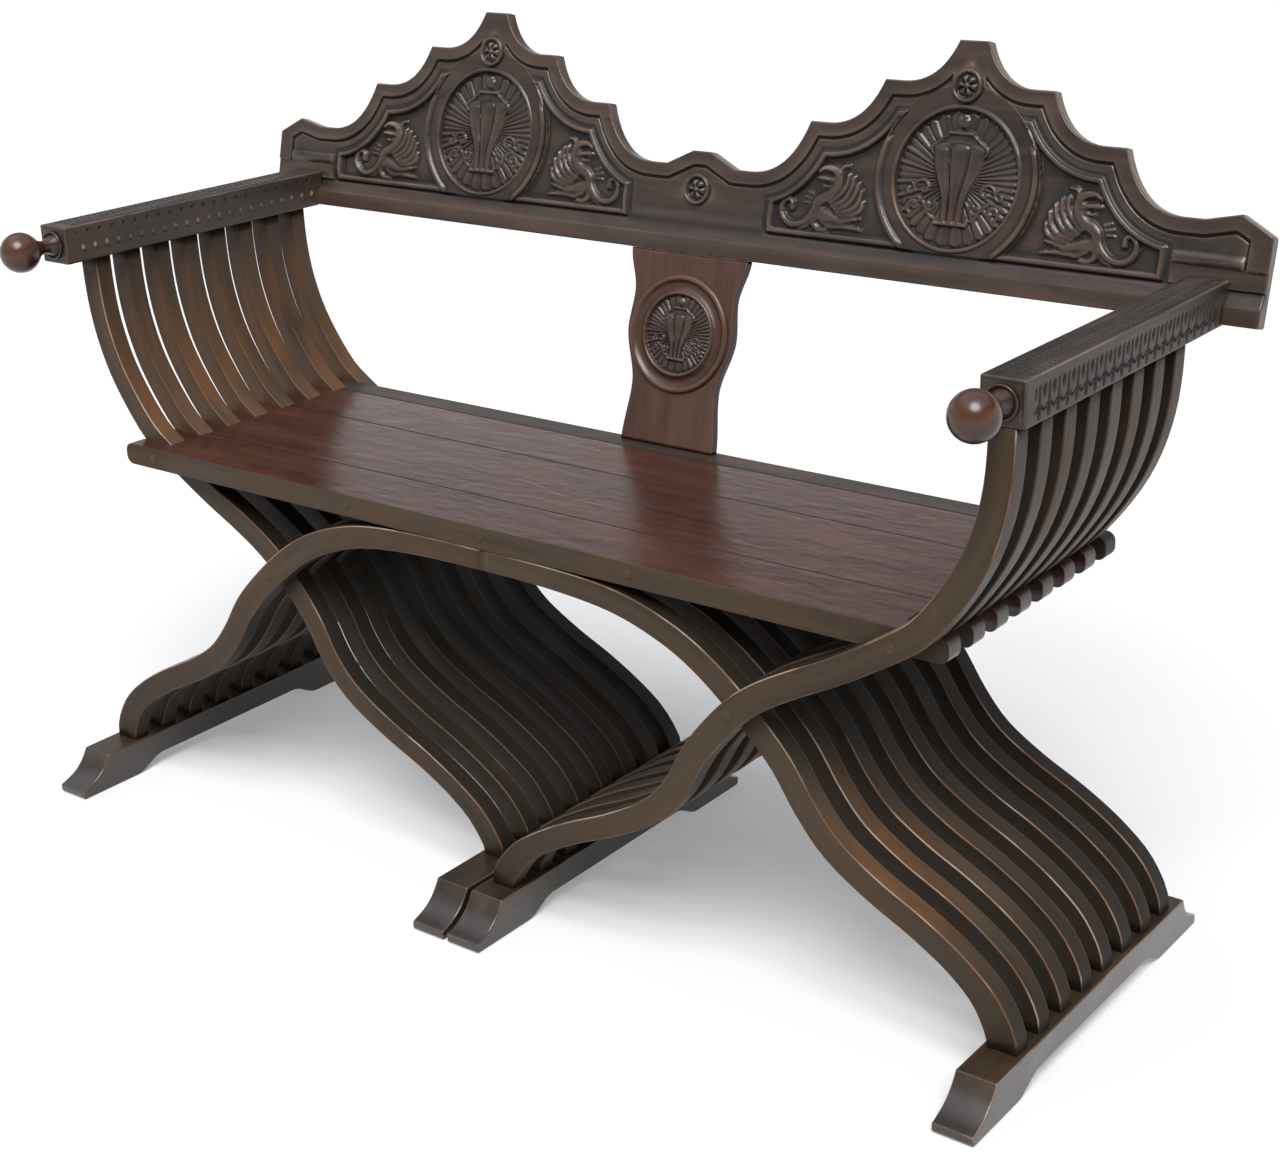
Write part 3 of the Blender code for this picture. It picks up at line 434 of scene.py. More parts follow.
def arch_slat_line():
    """Middle line of an arch slat up to the seam under the middle of the seat."""
    crown = (FIT / 2, SEAT_UNDERSIDE - FIT - CROWN_WIDTH / 2)
    path = [*leg_path(OUTER_FOOT_X, ARCH_LEG_SWEEP), *along_sweep(CROSSING, crown, CROWN_SWEEP), crown]
    marks = ((0.0, ARCH_FOOT_WIDTH), (0.12, ARCH_LEG_WIDTH), (0.55, CROSSING_WIDTH), (1.0, CROWN_WIDTH))
    places, directions, at = slat_line(path, (-path[-2][0], path[-2][1]))
    directions[-1] = (-1.0, 0.0)
    places[-1, 0] *= SEAM_SHARE
    return places, directions, at, eased(at / at[-1], marks)


def slat_line(path, after):
    before = (path[1][0], 2 * path[0][1] - path[1][1])
    places, directions, at = even_stations(smooth_through(path, before, after), SLAT_STEPS)
    directions[0] = (0.0, 1.0)
    places[0, 1] -= SLAT_SINK
    return places, directions, at


def slat_wear_and_light(row, number, side, rise, outward, rounding):
    """Wear, and painted light and shade, round a slat at one height.

    Corners are pale and faces that are touched are clean; faces that slats turn to each other are darkened as
    painted shade, but on the left arm above the seat they are lightened as painted light.
    """
    turned_in = outward[:, 0] < -0.5
    turned_out = outward[:, 0] > 0.5
    # Faces in the gaps get painted shade; on the left arm above the seat they get painted light instead
    dirt_and_painted_light = GAP_SHADE
    if rise > SEAT_UNDERSIDE:
        near_seat = np.exp(-((rise - SEAT_HEIGHT) / SITTER_REACH) ** 2)
        uneven = 0.75 + 0.25 * sin(2.3 * number)
        wear_and_painted_light = turned_in * SITTER_RUB * uneven * (0.1 + 0.9 * near_seat)
        dirt_and_painted_light = GAP_SHADE if side > 0 else LEFT_GAP_LIGHT
    elif "arch" in row:
        height, reach = HEEL_RUB
        most, less = HEEL_FADE
        heel = np.exp(-((rise - height) / reach) ** 2) * max(0.0, most - less * number)
        # Arch slats: upper faces darker and rubbed by heels low down; faces turned to the middle get painted shade
        wear_and_painted_light = np.where(turned_out, LEG_DARKENING + (HEEL_WEAR - LEG_DARKENING) * heel, UNDER_SEAT_SHADE * turned_in)
    else:
        # The arm slats' inner faces under the seat are darkened as painted shade
        wear_and_painted_light = turned_in * (UNDER_SEAT_SHADE if number > 1 else LEG_DARKENING)
    wear_and_painted_light = np.where(turned_in | turned_out, wear_and_painted_light, LOW_DARKENING * np.clip(1 - rise / LOW_REACH, 0.0, 1.0))
    in_gap = ((outward[:, 1] < -0.9) & (number > 1)) | ((outward[:, 1] > 0.9) & (number < SLATS_PER_SIDE))
    wear_and_painted_light = np.where(in_gap, dirt_and_painted_light, wear_and_painted_light)
    corner = EDGE_WEAR if number == 1 or "arch" in row else REAR_EDGE_WEAR
    return np.where(rounding > 0.3, np.maximum(corner * rounding, wear_and_painted_light), wear_and_painted_light)


def make_slats(row, line, side):
    places, directions, at, widths = line
    for number in range(1, SLATS_PER_SIDE + 1):
        node = f"{row}_{number}"
        low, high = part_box(node)
        rings, grain, wear_and_painted_light = [], [], []
        for place, direction, along, width in zip(places, directions, at, widths):
            spots, outward, rounding = section(width, high.y - low.y, SLAT_ROUNDING)
            across = spots[:, :1] * np.array([direction[1], -direction[0]])
            rings.append(np.column_stack([side * (place[0] + across[:, 0]), (low.y + high.y) / 2 + spots[:, 1],
                                          place[1] + across[:, 1]]))
            grain.append(np.column_stack([np.full(len(spots), along), spots]) + 0.83 * number + 3 * side)
            wear_and_painted_light.append(slat_wear_and_light(row, number, side, place[1], outward, rounding))
        add_rings("walnut_" + node, np.array(rings), np.array(grain), np.array(wear_and_painted_light), SLAT_WALNUT, "frame_walnut",
                  "frame", node)


# Feet

FOOT_ROUNDING = 0.0018
FOOT_EDGE_WEAR = 1.3
# Painted shade: a foot grows darker towards the floor
FLOOR_SHADE = -0.5


def foot_end(bevel):
    """Side view of one end of a foot, from the arch under it round to its top, by distance from the end."""
    corner = FOOT_NOSE_HEIGHT / 4
    shares = np.linspace(0.0, 1.0, 11)
    arch = [(FOOT_PAD + FOOT_COVE * t, FOOT_ARCH_RISE * (1 - cos(pi * t)) / 2) for t in shares[::-1]]
    slope = []
    for t in shares[1:]:
        dip = FOOT_BEVEL_DIP * sin(pi * t)
        slope.append((bevel * t + dip, FOOT_NOSE_HEIGHT + (FOOT_HEIGHT - FOOT_NOSE_HEIGHT) * t - dip))
    return [*arch, (corner, 0.0), (0.0, corner), (0.0, FOOT_NOSE_HEIGHT), *slope]


def foot_wear_and_shade(points, bend):
    """Edges rubbed pale in places, and sides darkened towards the floor as painted shade."""
    dirt_and_painted_light = FLOOR_SHADE * np.clip(1.2 - points[:, 2] / FOOT_HEIGHT, 0.0, 1.0)
    return np.where(bend > SHARP_BEND, FOOT_EDGE_WEAR, dirt_and_painted_light)


def make_feet():
    for node in ("left_outer_foot", "left_inner_foot", "right_inner_foot", "right_outer_foot"):
        low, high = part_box(node)
        front = [(low.y + inwards, z) for inwards, z in foot_end(FOOT_BEVEL)]
        rear = [(high.y - inwards, z) for inwards, z in foot_end(FOOT_REAR_BEVEL)]
        foot = prism([*front, *reversed(rear)], lambda y, z, x: (x, y, z), low.x, high.x)
        round_edges(foot, FOOT_ROUNDING)
        add_solid("walnut_" + node, foot, [1, 0, 2], 7 * low.x, foot_wear_and_shade, FOOT_WALNUT, "frame_walnut", "frame",
                  node)


# Seat

BOARD_ROUNDING = 0.0008
SLOT_ROOM = 0.0015       # between a slot in the seat's end and its slat, closer than in the solids
JOINT_GAP = 0.0003       # each board stands back this far at its long joints
JOINT_DIRT = 0.0013      # width of the dirt along a joint
FINGER_START_X = 0.485   # from here the fingers between the arm slats grow darker
FINGER_FADE = 0.022
FINGER_DARKENING = 0.25
FRONT_EDGE_WEAR = 1.3
BOARD_EDGE_WEAR = 0.2


def seat_outline():
    """Front view of the seat, with rounded ends."""
    outline = []
    for side, level, start in ((1, 1, 0.0), (-1, 1, pi / 2), (-1, -1, pi), (1, -1, 3 * pi / 2)):
        x = side * (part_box("seat_front_board")[1].x - SEAT_END_RADIUS)
        z = SEAT_MIDDLE + level * (SEAT_THICKNESS / 2 - SEAT_END_RADIUS)
        for turn in np.linspace(start, start + pi / 2, 7):
            outline.append((x + SEAT_END_RADIUS * cos(turn), z + SEAT_END_RADIUS * sin(turn)))
    return outline


def slat_gaps():
    """Cutter of the slots in both ends of the seat, along the inner edge of each arm slat."""
    places, directions, _, widths = arm_slat_line()
    inner = places - np.column_stack([directions[:, 1], -directions[:, 0]]) * widths[:, None] / 2
    near_seat = (inner[:, 1] > SEAT_UNDERSIDE - SEAT_THICKNESS) & (inner[:, 1] < SEAT_HEIGHT + SEAT_THICKNESS)
    edge = inner[near_seat] - (SLOT_ROOM, 0.0)
    past_end = CREST_HALF_LENGTH
    outline = [(past_end, edge[0, 1]), *edge, (past_end, edge[-1, 1])]
    cutter = bmesh.new()
    seat_low, seat_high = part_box("seat_front_board")[0].y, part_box("seat_rear_strip")[1].y
    for side, row in ((-1, "left_arm_slat"), (1, "right_arm_slat")):
        for number in range(1, SLATS_PER_SIDE + 1):
            low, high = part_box(f"{row}_{number}")
            if low.y > seat_low and high.y < seat_high:
                gap = prism(outline, lambda x, z, y: (side * x, y, z), low.y - FIT, high.y + FIT)
                mesh = bpy.data.meshes.new("slat_gap")
                gap.to_mesh(mesh)
                gap.free()
                cutter.from_mesh(mesh)
                bpy.data.meshes.remove(mesh)
    return cutter


def bmesh_object(name, shape):
    mesh = bpy.data.meshes.new(name)
    shape.to_mesh(mesh)
    shape.free()
    thing = bpy.data.objects.new(name, mesh)
    bpy.context.scene.collection.objects.link(thing)
    return thing


def make_seat():
    cutter = bmesh_object("slat_gaps", slat_gaps())
    nodes = ("seat_front_board", "seat_middle_board", "seat_back_board", "seat_rear_strip")
    for number, node in enumerate(nodes):
        low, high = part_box(node)
        near = low.y + JOINT_GAP * (number > 0)
        far = high.y - JOINT_GAP * (number < len(nodes) - 1)

        def seat_wear(points, bend):
            """Dark joints and fingers, and a front edge rubbed by legs."""
            edge = np.where(points[:, 1] < low.y + JOINT_DIRT, FRONT_EDGE_WEAR, BOARD_EDGE_WEAR)
            wear_and_painted_light = edge * (bend > SHARP_BEND)
            into = np.minimum(far - points[:, 1], np.where(number > 0, points[:, 1] - near, 1.0))
            joint = into < 0.8 * JOINT_DIRT
            wear_and_painted_light = np.where(joint & (bend > 0.2), -1.0, wear_and_painted_light)
            dirt_and_painted_light = FINGER_DARKENING * np.clip((np.abs(points[:, 0]) - FINGER_START_X) / FINGER_FADE, 0.0, 1.0)
            return np.where(dirt_and_painted_light > 0, np.minimum(wear_and_painted_light, -dirt_and_painted_light), wear_and_painted_light)

        blank = bmesh_object("seat_blank", prism(seat_outline(), lambda x, z, y: (x, y, z), near, far))
        step = blank.modifiers.new("slots", "BOOLEAN")
        step.object = cutter
        step.solver = "EXACT"
        bpy.context.view_layer.update()
        cut = bmesh.new()
        cut.from_object(blank, bpy.context.evaluated_depsgraph_get())
        bpy.data.objects.remove(blank, do_unlink=True)
        bmesh.ops.remove_doubles(cut, verts=cut.verts, dist=1e-5)
        bmesh.ops.dissolve_limit(cut, angle_limit=radians(1), verts=cut.verts, edges=cut.edges)
        round_edges(cut, BOARD_ROUNDING)
        cuts = [((0, y, 0), (0, 1, 0)) for y in (near + JOINT_DIRT, far - JOINT_DIRT)]
        for x in (FINGER_START_X, FINGER_START_X + FINGER_FADE):
            cuts += [((x, 0, 0), (1, 0, 0)), ((-x, 0, 0), (1, 0, 0))]
        for place, across in cuts:
            every = [*cut.verts, *cut.edges, *cut.faces]
            bmesh.ops.bisect_plane(cut, geom=every, plane_co=place, plane_no=across)
        finish = ARM_WALNUT if node == "seat_rear_strip" else SEAT_WALNUT
        board = add_solid("walnut_" + node, cut, [0, 1, 2], 1.9 * number, seat_wear, finish, "seat_walnut",
                          "frame", node)
        if number == 0:
            # The seat's front edge has the slats' finish
            board.data.materials.append(SLAT_WALNUT)
            for face in board.data.polygons:
                face.material_index = int(face.normal.y < -0.3)
    bpy.data.objects.remove(cutter, do_unlink=True)


# Turned pieces

def add_turned(name, x, z, profile, sides, *rest):
    """A piece turned about a line along Y; profile is (y, radius, wear)."""
    turns = np.linspace(0.0, 2 * pi, sides, endpoint=False)
    rings, wear_and_painted_light = [], []
    for y, radius, worn in profile:
        rings.append(np.column_stack([x + radius * np.cos(turns), np.full(sides, y), z + radius * np.sin(turns)]))
        wear_and_painted_light.append(np.full(sides, worn))
    rings = np.array(rings)
    add_rings(name, rings, rings[:, :, [1, 0, 2]] + 5 * x, np.array(wear_and_painted_light), *rest)


def make_finial(node, x):
    """Collar with a bead, waisted neck and ball."""
    # Third values: painted shade in the collar's hollow and at the neck's ends; along the bead, wear and a painted
    # highlight
    profile = [(0.004, NECK_RADIUS * 0.7, 0.0), (0.0, COLLAR_RADIUS * 1.03, -0.9)]
    for turn in np.linspace(0.0, pi, 9):
        rim = COLLAR_RADIUS * (0.95 + 0.06 * cos(turn))
        profile.append((-COLLAR_LENGTH * (0.3 + 0.25 * sin(turn)), rim, 0.8 * sin(turn) - 0.3))
    profile.append((-COLLAR_LENGTH * 0.15, COLLAR_RADIUS * 0.86, -1.0))
    profile.append((-COLLAR_LENGTH * 0.35, NECK_RADIUS * 1.35, -1.0))
    neck = COLLAR_LENGTH + NECK_LENGTH
    for share in np.linspace(0.0, 1.0, 8):
        waist = NECK_RADIUS * (1.12 - 0.30 * sin(pi * share))
        profile.append((-COLLAR_LENGTH - NECK_LENGTH * share, waist, -0.5 if share in (0.0, 1.0) else 0.0))
    start = np.arcsin(NECK_RADIUS * 1.12 / BALL_RADIUS)
    for turn in np.linspace(start, pi - 0.02, 26):
        profile.append((-neck - BALL_RADIUS * (1 - cos(turn)), BALL_RADIUS * sin(turn), 0.15 * (1 - cos(turn))))
    profile = [(ARM_FRONT_Y + out, radius, worn) for out, radius, worn in profile]
    add_turned("walnut_" + node, x, (ARM_TOP + ARM_UNDERSIDE) / 2, profile, 48, TURNED_WALNUT, "turned_walnut",
               "frame", node)


def make_pegs():
    """Rods and dowels, their ends standing a little proud and rounded by wear."""
    proud = 0.9 * MM
    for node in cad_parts:
        if node.endswith(("_rod", "_dowel")):
            low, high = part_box(node)
            radius = (high.z - low.z) / 2
            end = [(-proud, radius * 0.45, 0.2), (-proud * 0.8, radius * 0.75, 0.3),
                   (-proud * 0.2, radius * 0.97, 0.0), (0.6 * MM, radius, -0.9)]
            front = [(low.y + y, r, w) for y, r, w in end]
            profile = front + [(high.y - y, r, w) for y, r, w in reversed(end)]
            add_turned("walnut_" + node, (low.x + high.x) / 2, (low.z + high.z) / 2, profile, 24, SLAT_WALNUT,
                       "frame_walnut", "frame", node)


# Arms

PUNCH_PITCH = 0.0183
SLOT_REACH = (-0.0150, 0.0105)   # bottom and top of an outer slot from the middle of the arm's height
SLOT_DEEP = 0.0040
SLOT_HALF = 0.0016               # half width at the top, and as much again at the bottom
DROP_RISE = 0.0062               # middle of the drop between two slots
DROP_RADIUS = 0.0029             # half its width; it is twice as long
ARCH_RISE = -0.0062              # middle of the cut arch below a drop
CUT_ARCH = (0.0048, 0.0013, 0.0018)     # radius, half width and depth
PEARL = (-0.0050, 0.0028, 0.0022)       # rise, half width and height of the raised, longish dots inside, whose tops are painted pale as glints
DOT = (0.0135, 0.0024, 0.0016)          # rise, radius and depth of the dots over them
TOP_MARK = (0.0032, 0.0016, 0.0007)     # radius, mean depth and change of depth on top
TOP_ROWS = (-0.0132, -0.0044, 0.0044, 0.0132)
STRAY = (0.0009, 0.0010)         # how far those marks stray along and across
EDGE_LINE = 0.0182               # line along both edges of the top
PLAIN_FRONT = 0.016
PLAIN_REAR = 0.016
ARM_ROUNDING = 0.0022
PUNCH_STEPS = 16                 # rings in one pitch
SIDE_POINTS = 38                 # between the corners of a ring
SQUARE_ON = 0.95                 # from here a direction counts as square to a face
ARM_EDGE_WEAR = 1.3
ARM_FRONT_WEAR = 0.6
HAND_RUB = 0.4                   # inside and on the outer strip of the top
PUNCH_DIRT_AND_GLINT = 650                 # per metre of depth: dirt in the dents, and a painted glint on the raised pearls


def dent(distance, radius, deep):
    """Depth of a round punch mark."""
    return -deep * np.clip(1 - (distance / radius) ** 2, 0.0, 1.0) ** 0.5


def arm_carving(along, p, q, outward):
    """Punch and gouge marks on an arm: slots and drops outside, dots inside and a diaper on top."""
    beat = (along - PLAIN_FRONT) % PUNCH_PITCH - PUNCH_PITCH / 2
    half_beat = (along - PLAIN_FRONT + PUNCH_PITCH / 2) % PUNCH_PITCH - PUNCH_PITCH / 2
    low, high = SLOT_REACH
    past_slot = np.maximum(np.maximum(low - q, q - high), 0.0)
    slot_half = SLOT_HALF * (1 + np.clip((high - q) / (high - low), 0.0, 1.0) ** 3)
    outside = dent(np.hypot(beat, past_slot), slot_half, SLOT_DEEP)
    outside = np.minimum(outside, dent(np.hypot(half_beat, (q - DROP_RISE) * 0.5), DROP_RADIUS, SLOT_DEEP))
    radius, half, deep = CUT_ARCH
    arch = np.where(q < ARCH_RISE, np.abs(np.hypot(half_beat, q - ARCH_RISE) - radius), 1.0)
    outside = np.minimum(outside, dent(arch, half, deep))
    rise, radius, tall = PEARL
    inside = tall * bead(np.hypot(beat, (q - rise) * 0.7), radius)
    rise, radius, deep = DOT
    inside = inside + dent(np.hypot(half_beat, q - rise), radius, deep)
    fine = PUNCH_PITCH / 2
    top = dent(np.abs(np.abs(p) - EDGE_LINE), 1.1 * MM, 1.1 * MM)
    radius, deep, change = TOP_MARK
    for number, place in enumerate(TOP_ROWS):
        spot = along / fine + 0.5 * (number % 2)
        uneven = sin(12.9 * np.floor(spot) + 4.1 * number)
        step = (spot % 1.0 - 0.5) * fine + STRAY[0] * uneven
        mark = dent(np.hypot(step, p - place - STRAY[1] * uneven), radius, deep + change * uneven)
        top = np.minimum(top, mark)
    carved = np.where(outward[:, 0] > SQUARE_ON, outside, 0.0)
    carved = np.where(outward[:, 0] < -SQUARE_ON, inside, carved)
    return np.where(outward[:, 1] > SQUARE_ON, top, carved)


def make_arm(node, side):
    low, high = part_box(node)
    wide, tall = high.x - low.x, ARM_TOP - ARM_UNDERSIDE
    length = CREST_FOOT_Y + (ARM_TOP - CREST_BOTTOM) * tan(BACK_LEAN) - FIT - low.y
    steps = int(length / PUNCH_PITCH * PUNCH_STEPS)
    stations = [(0.0, 2 * ARM_ROUNDING)]
    for turn in np.linspace(0, pi / 2, 5):
        stations.append((ARM_ROUNDING * (1 - cos(turn)), ARM_ROUNDING * (1 - sin(turn))))
    stations += [(along, 0.0) for along in np.linspace(ARM_ROUNDING, length, steps)[1:]]
    rings, grain, wear_and_painted_light = [], [], []
    for along, inset in stations:
        radius = max(ARM_ROUNDING - inset, 0.2 * MM)
        spots, outward, rounded = section(wide - 2 * inset, tall - 2 * inset, radius, SIDE_POINTS)
        p, q = spots.T
        press = np.zeros_like(p)
        if PLAIN_FRONT < along < length - PLAIN_REAR:
            press = arm_carving(along, p, q, outward)
        rear_slope = (q - tall / 2) * tan(BACK_LEAN) * along / length
        rings.append(np.column_stack([side * (ARM_X + p + outward[:, 0] * press), low.y + along + rear_slope,
                                      (ARM_TOP + ARM_UNDERSIDE) / 2 + q + outward[:, 1] * press]))
        grain.append(np.column_stack([np.full(len(p), along), p, q]) + 4 * side)
        front_edge = ARM_FRONT_WEAR if 0 < inset < ARM_ROUNDING else 0.0
        plain_strip = HAND_RUB * ((outward[:, 1] > SQUARE_ON) & (p > EDGE_LINE))
        touched = np.where((outward[:, 0] < -SQUARE_ON) & (inset == 0), HAND_RUB, plain_strip)
        rubbed = np.maximum(np.maximum(ARM_EDGE_WEAR * rounded, touched), front_edge)
        # Punch depth darkens the dents with dirt, and turns the raised pearls pale as a painted glint
        wear_and_painted_light.append(np.maximum(rubbed + press * PUNCH_DIRT_AND_GLINT, -1))
    add_rings("walnut_" + node, np.array(rings), np.array(grain), np.array(wear_and_painted_light), ARM_WALNUT, "carved_walnut",
              "frame", node)


# Leaning back

def back_place(across, up, out):
    """Place of points on the leaning back: across, up the board, and out of its front face."""
    across, up, out = np.broadcast_arrays(across, up, out)
    return np.stack([across, CREST_FOOT_Y + up * sin(BACK_LEAN) - out * cos(BACK_LEAN),
                     CREST_BOTTOM + up * cos(BACK_LEAN) + out * sin(BACK_LEAN)], axis=-1)


def scallop(start, end):
    """Hollow curve that drops steeply from start and runs out level at end."""
    t = np.linspace(0.0, 1.0, 13)[1:]
    pull = (start[0] + SCALLOP_PULL * (end[0] - start[0]), end[1])
    corners = list(zip(start, pull, end))
    return [tuple((1 - s) ** 2 * a + 2 * s * (1 - s) * b + s * s * c for a, b, c in corners) for s in t]


def crest_top():
    """Top outline of the right half of the crest rail, from its middle to its end."""
    run = PEAK_X - CENTRE_DIP_X
    corners = [(PEAK_FLAT, PEAK_RISE), *((share * run, rise) for share, rise in zip(STEP_SHARES, STEP_RISES)),
               (run, DIP_RISE)]
    side = [corners[0]]
    for start, end in zip(corners, corners[1:]):
        side += scallop(start, (end[0] - STEP_FLAT, end[1]))
        side.append(end)
    inner = [(PEAK_X - away, rise) for away, rise in reversed(side)]
    outer = [(PEAK_X + away, rise) for away, rise in side]
    return np.array([(0.0, CENTRE_BUMP[1]), CENTRE_BUMP, *inner, *outer, END_BUMP,
                     (CREST_HALF_LENGTH, END_CORNER_RISE)])


def inset_line(top, x, distance):
    """Line at a distance inside the top outline."""
    lowest = np.full_like(x, 1.0)
    for shift in np.linspace(-distance, distance, 41):
        height = np.interp(np.abs(x + shift), top[:, 0], top[:, 1])
        lowest = np.minimum(lowest, height - np.sqrt(max(0.0, distance ** 2 - shift ** 2)))
    return lowest


def bead(distance, half):
    """Half-round section of a raised line, from 1 on the line to 0 at half its width."""
    return np.sqrt(np.clip(1 - (distance / half) ** 2, 0.0, 1.0))


def line_distance(across, up, a, b):
    """Distance of points from the line between two places, and their share of the way along it."""
    run = b - a
    t = np.clip(((across - a[0]) * run[0] + (up - a[1]) * run[1]) / (run @ run), 0.0, 1.0)
    return np.hypot(across - a[0] - t * run[0], up - a[1] - t * run[1]), t


def stroke(across, up, points, wide, high):
    """Height of a carved stroke along a smooth line; its half width runs through the values of wide."""
    line = smooth_through(np.array(points) * MM, steps=6)
    share = np.linspace(0.0, 1.0, len(line))
    half = np.interp(share, np.linspace(0.0, 1.0, len(wide)), wide) * MM
    height = np.zeros_like(across)
    for a, b, wa, wb in zip(line, line[1:], half, half[1:]):
        distance, t = line_distance(across, up, a, b)
        height = np.maximum(height, bead(distance, wa + (wb - wa) * t))
    return height * high * MM


# Griffin of a side panel, in mm away from the medallion's middle and up the board: line, half widths, height.
# Its head looks away from the medallion, its wing and hind legs reach towards it, and its tail rolls up outside.
GRIFFIN = (
    # Hind legs, belly and near foreleg
    (((170, 63), (157, 61), (146, 58.5), (135, 57), (122, 59.5), (113, 62)), (7.5, 6.2, 4.6, 3.2, 2.4, 1.4), 3.6),
    (((160, 56), (150, 50), (139, 50.5), (125, 51), (109, 49)), (4.6, 3.2, 2.6, 2.4, 1.4), 3.0),
    (((171, 60), (172, 53), (166, 46), (154, 45)), (5.4, 4.2, 3.2, 1.8), 3.4),
    (((176, 55), (181, 47.5), (190, 44)), (3.6, 2.6, 1.4), 2.6),
    # Chest and the rolled tail
    (((160, 80), (168.5, 75), (172, 65), (178, 57), (187.5, 50), (198.5, 47.5), (208, 51), (214.5, 59),
      (214.5, 68.5), (209, 75), (202.5, 73), (201.5, 66)),
     (5.6, 6.0, 5.4, 4.4, 3.8, 3.6, 3.6, 3.5, 3.3, 3.1, 2.9, 3.6), 4.2),
    # Neck, skull, upper and lower beak, beard and ear
    (((164, 79), (154, 84), (147.5, 91), (144.5, 99), (146, 107)), (6.2, 5.8, 5.4, 5.2, 5.4), 4.0),
    (((146, 109), (153, 112.5), (163, 113), (170.5, 109)), (5.4, 4.4, 3.2, 1.8), 4.4),
    (((148, 101), (157, 101), (164, 101.5), (171.5, 102)), (3.6, 3.2, 2.8, 1.4), 3.8),
    (((151, 95), (159, 93), (165, 94)), (2.4, 2.0, 1.2), 2.6),
    (((145, 112), (140, 117), (133, 118)), (2.8, 2.2, 1.2), 3.0),
)
# Wing feathers from tip to root, and short fins in front of the chest
FEATHERS = (((133, 108), (134, 97), (141, 86), (153, 76)), ((126, 106), (128, 93), (136, 80), (150, 72)),
            ((119.5, 100), (122.5, 87), (131, 75.5), (146, 69)), ((114, 92), (117, 79), (126, 70), (143, 66)),
            ((110.5, 80), (114, 70), (123, 65), (138, 63)))
GRIFFIN_FULLNESS = 1.18
FINS = (((176, 84), (184, 86.5)), ((178, 79), (187, 80.5)), ((180, 73.5), (189, 74)))


def griffin_height(away, up):
    """Relief of a griffin over the panel's ground."""
    height = np.zeros_like(away)
    for points in FEATHERS:
        height = np.maximum(height, stroke(away, up, points, (2.2, 3.4, 3.5, 2.8), 3.8))
    for points in FINS:
        height = np.maximum(height, stroke(away, up, points, (1.9, 1.3), 2.2))
    for points, wide, high in GRIFFIN:
        wide = [GRIFFIN_FULLNESS * half for half in wide]
        height = np.maximum(height, stroke(away, up, points, wide, 1.15 * high))
    return height


# Carving of the crest rail's front
BAND = 0.0160            # width of the raised border along the top
BAND_PROUD = 0.0016
LEDGE = 0.0190           # top of the plain band along the bottom
LEDGE_PROUD = 0.0040
LEDGE_STEP = 0.0014      # drop behind the ledge's edge
SLOPE_FOOT = -0.0026     # height at the top of the slope over the ledge
COVE_TOP = 0.0345
SLOPE_RUN = 0.016        # from there up to the level field
FRAME_INSET = 0.038      # from the top outline to the panel's ground
PANEL_FOOT = 0.0415
PANEL_REACH = (0.226, 0.241)    # inner and outer panel, from the medallion's middle
PANEL_DEEP = 0.0042
WALL = 0.0016            # run of the wall down to the ground
FRAME_BEAD = 0.0062      # width of the rounded moulding round a panel
BEAD_RISE = 0.0028
FRAME_COVE = 0.0070      # width of the hollow outside it
COVE_DEEP = 0.0012
FOOT_LINE = (0.0011, 0.0012, 0.0018)    # gap, half width and depth of the line under the moulding
END_GROOVE_X = 0.6645
END_RIDGE_RISE = 0.061
END_RIDGE_HALF = 0.0070
END_RIDGE_TALL = 0.0028
GROOVE_HALF = 0.0015
GROOVE_DEEP = 0.0020
POCKET_DEEP = 0.0058     # under medallions and rosettes, which hide it
POCKET_EDGE = 0.003      # rim of a medallion beyond it
FLOWER_POCKET = 0.015    # its radius under a rosette
CROWN_HALF = 0.020       # plain place over a peak's rosette
CREST_ROUNDING = 0.0022
FINE_STEP = 0.00165      # between columns at the panels
PLAIN_STEP = 0.0034
CLOSEST = 0.0004         # an even column nearer to a marked one is left out
ROWS = (4, 3, 6, 1, 10, 46, 9, 6, 4, 6, 6)    # of points, between the marks in crest_rows
# Wear from relief: rounds of evening out, and wear per metre over and under the evened height
RELIEF_WEAR = ((6, 750, 1300), (60, 160, 380))
MOST_WEAR = 1.35


def crest_rows(top, x, inset):
    """Rises of the rows of points in each column, crowded where the mouldings are."""
    level = np.ones_like(x)
    high = np.interp(np.abs(x), top[:, 0], top[:, 1]) - inset - CREST_ROUNDING
    marks = [inset + CREST_ROUNDING, (LEDGE - 0.001) * level, (LEDGE + 0.001) * level, COVE_TOP * level,
             (PANEL_FOOT - FRAME_BEAD - 0.0012) * level, (PANEL_FOOT + WALL) * level]
    for depth in (FRAME_INSET + WALL, FRAME_INSET - FRAME_BEAD, FRAME_INSET - FRAME_BEAD - FRAME_COVE,
                  BAND + 2 * GROOVE_HALF, BAND - 0.0004):
        marks.append(np.minimum(inset_line(top, x, depth), high - depth / 4))
    marks.append(high)
    rows = []
    for start, stop, count in zip(marks, marks[1:], ROWS):
        for t in np.arange(count) / count:
            rows.append(start + (stop - start) * t)
    return np.array([*rows, high]).T


def top_distance(top, x, up):
    """Distance of points on the front from the top outline."""
    nearest = np.ones_like(x)
    for a, b in zip(top, top[1:]):
        nearest = np.minimum(nearest, line_distance(x, up, a, b)[0])
    return nearest


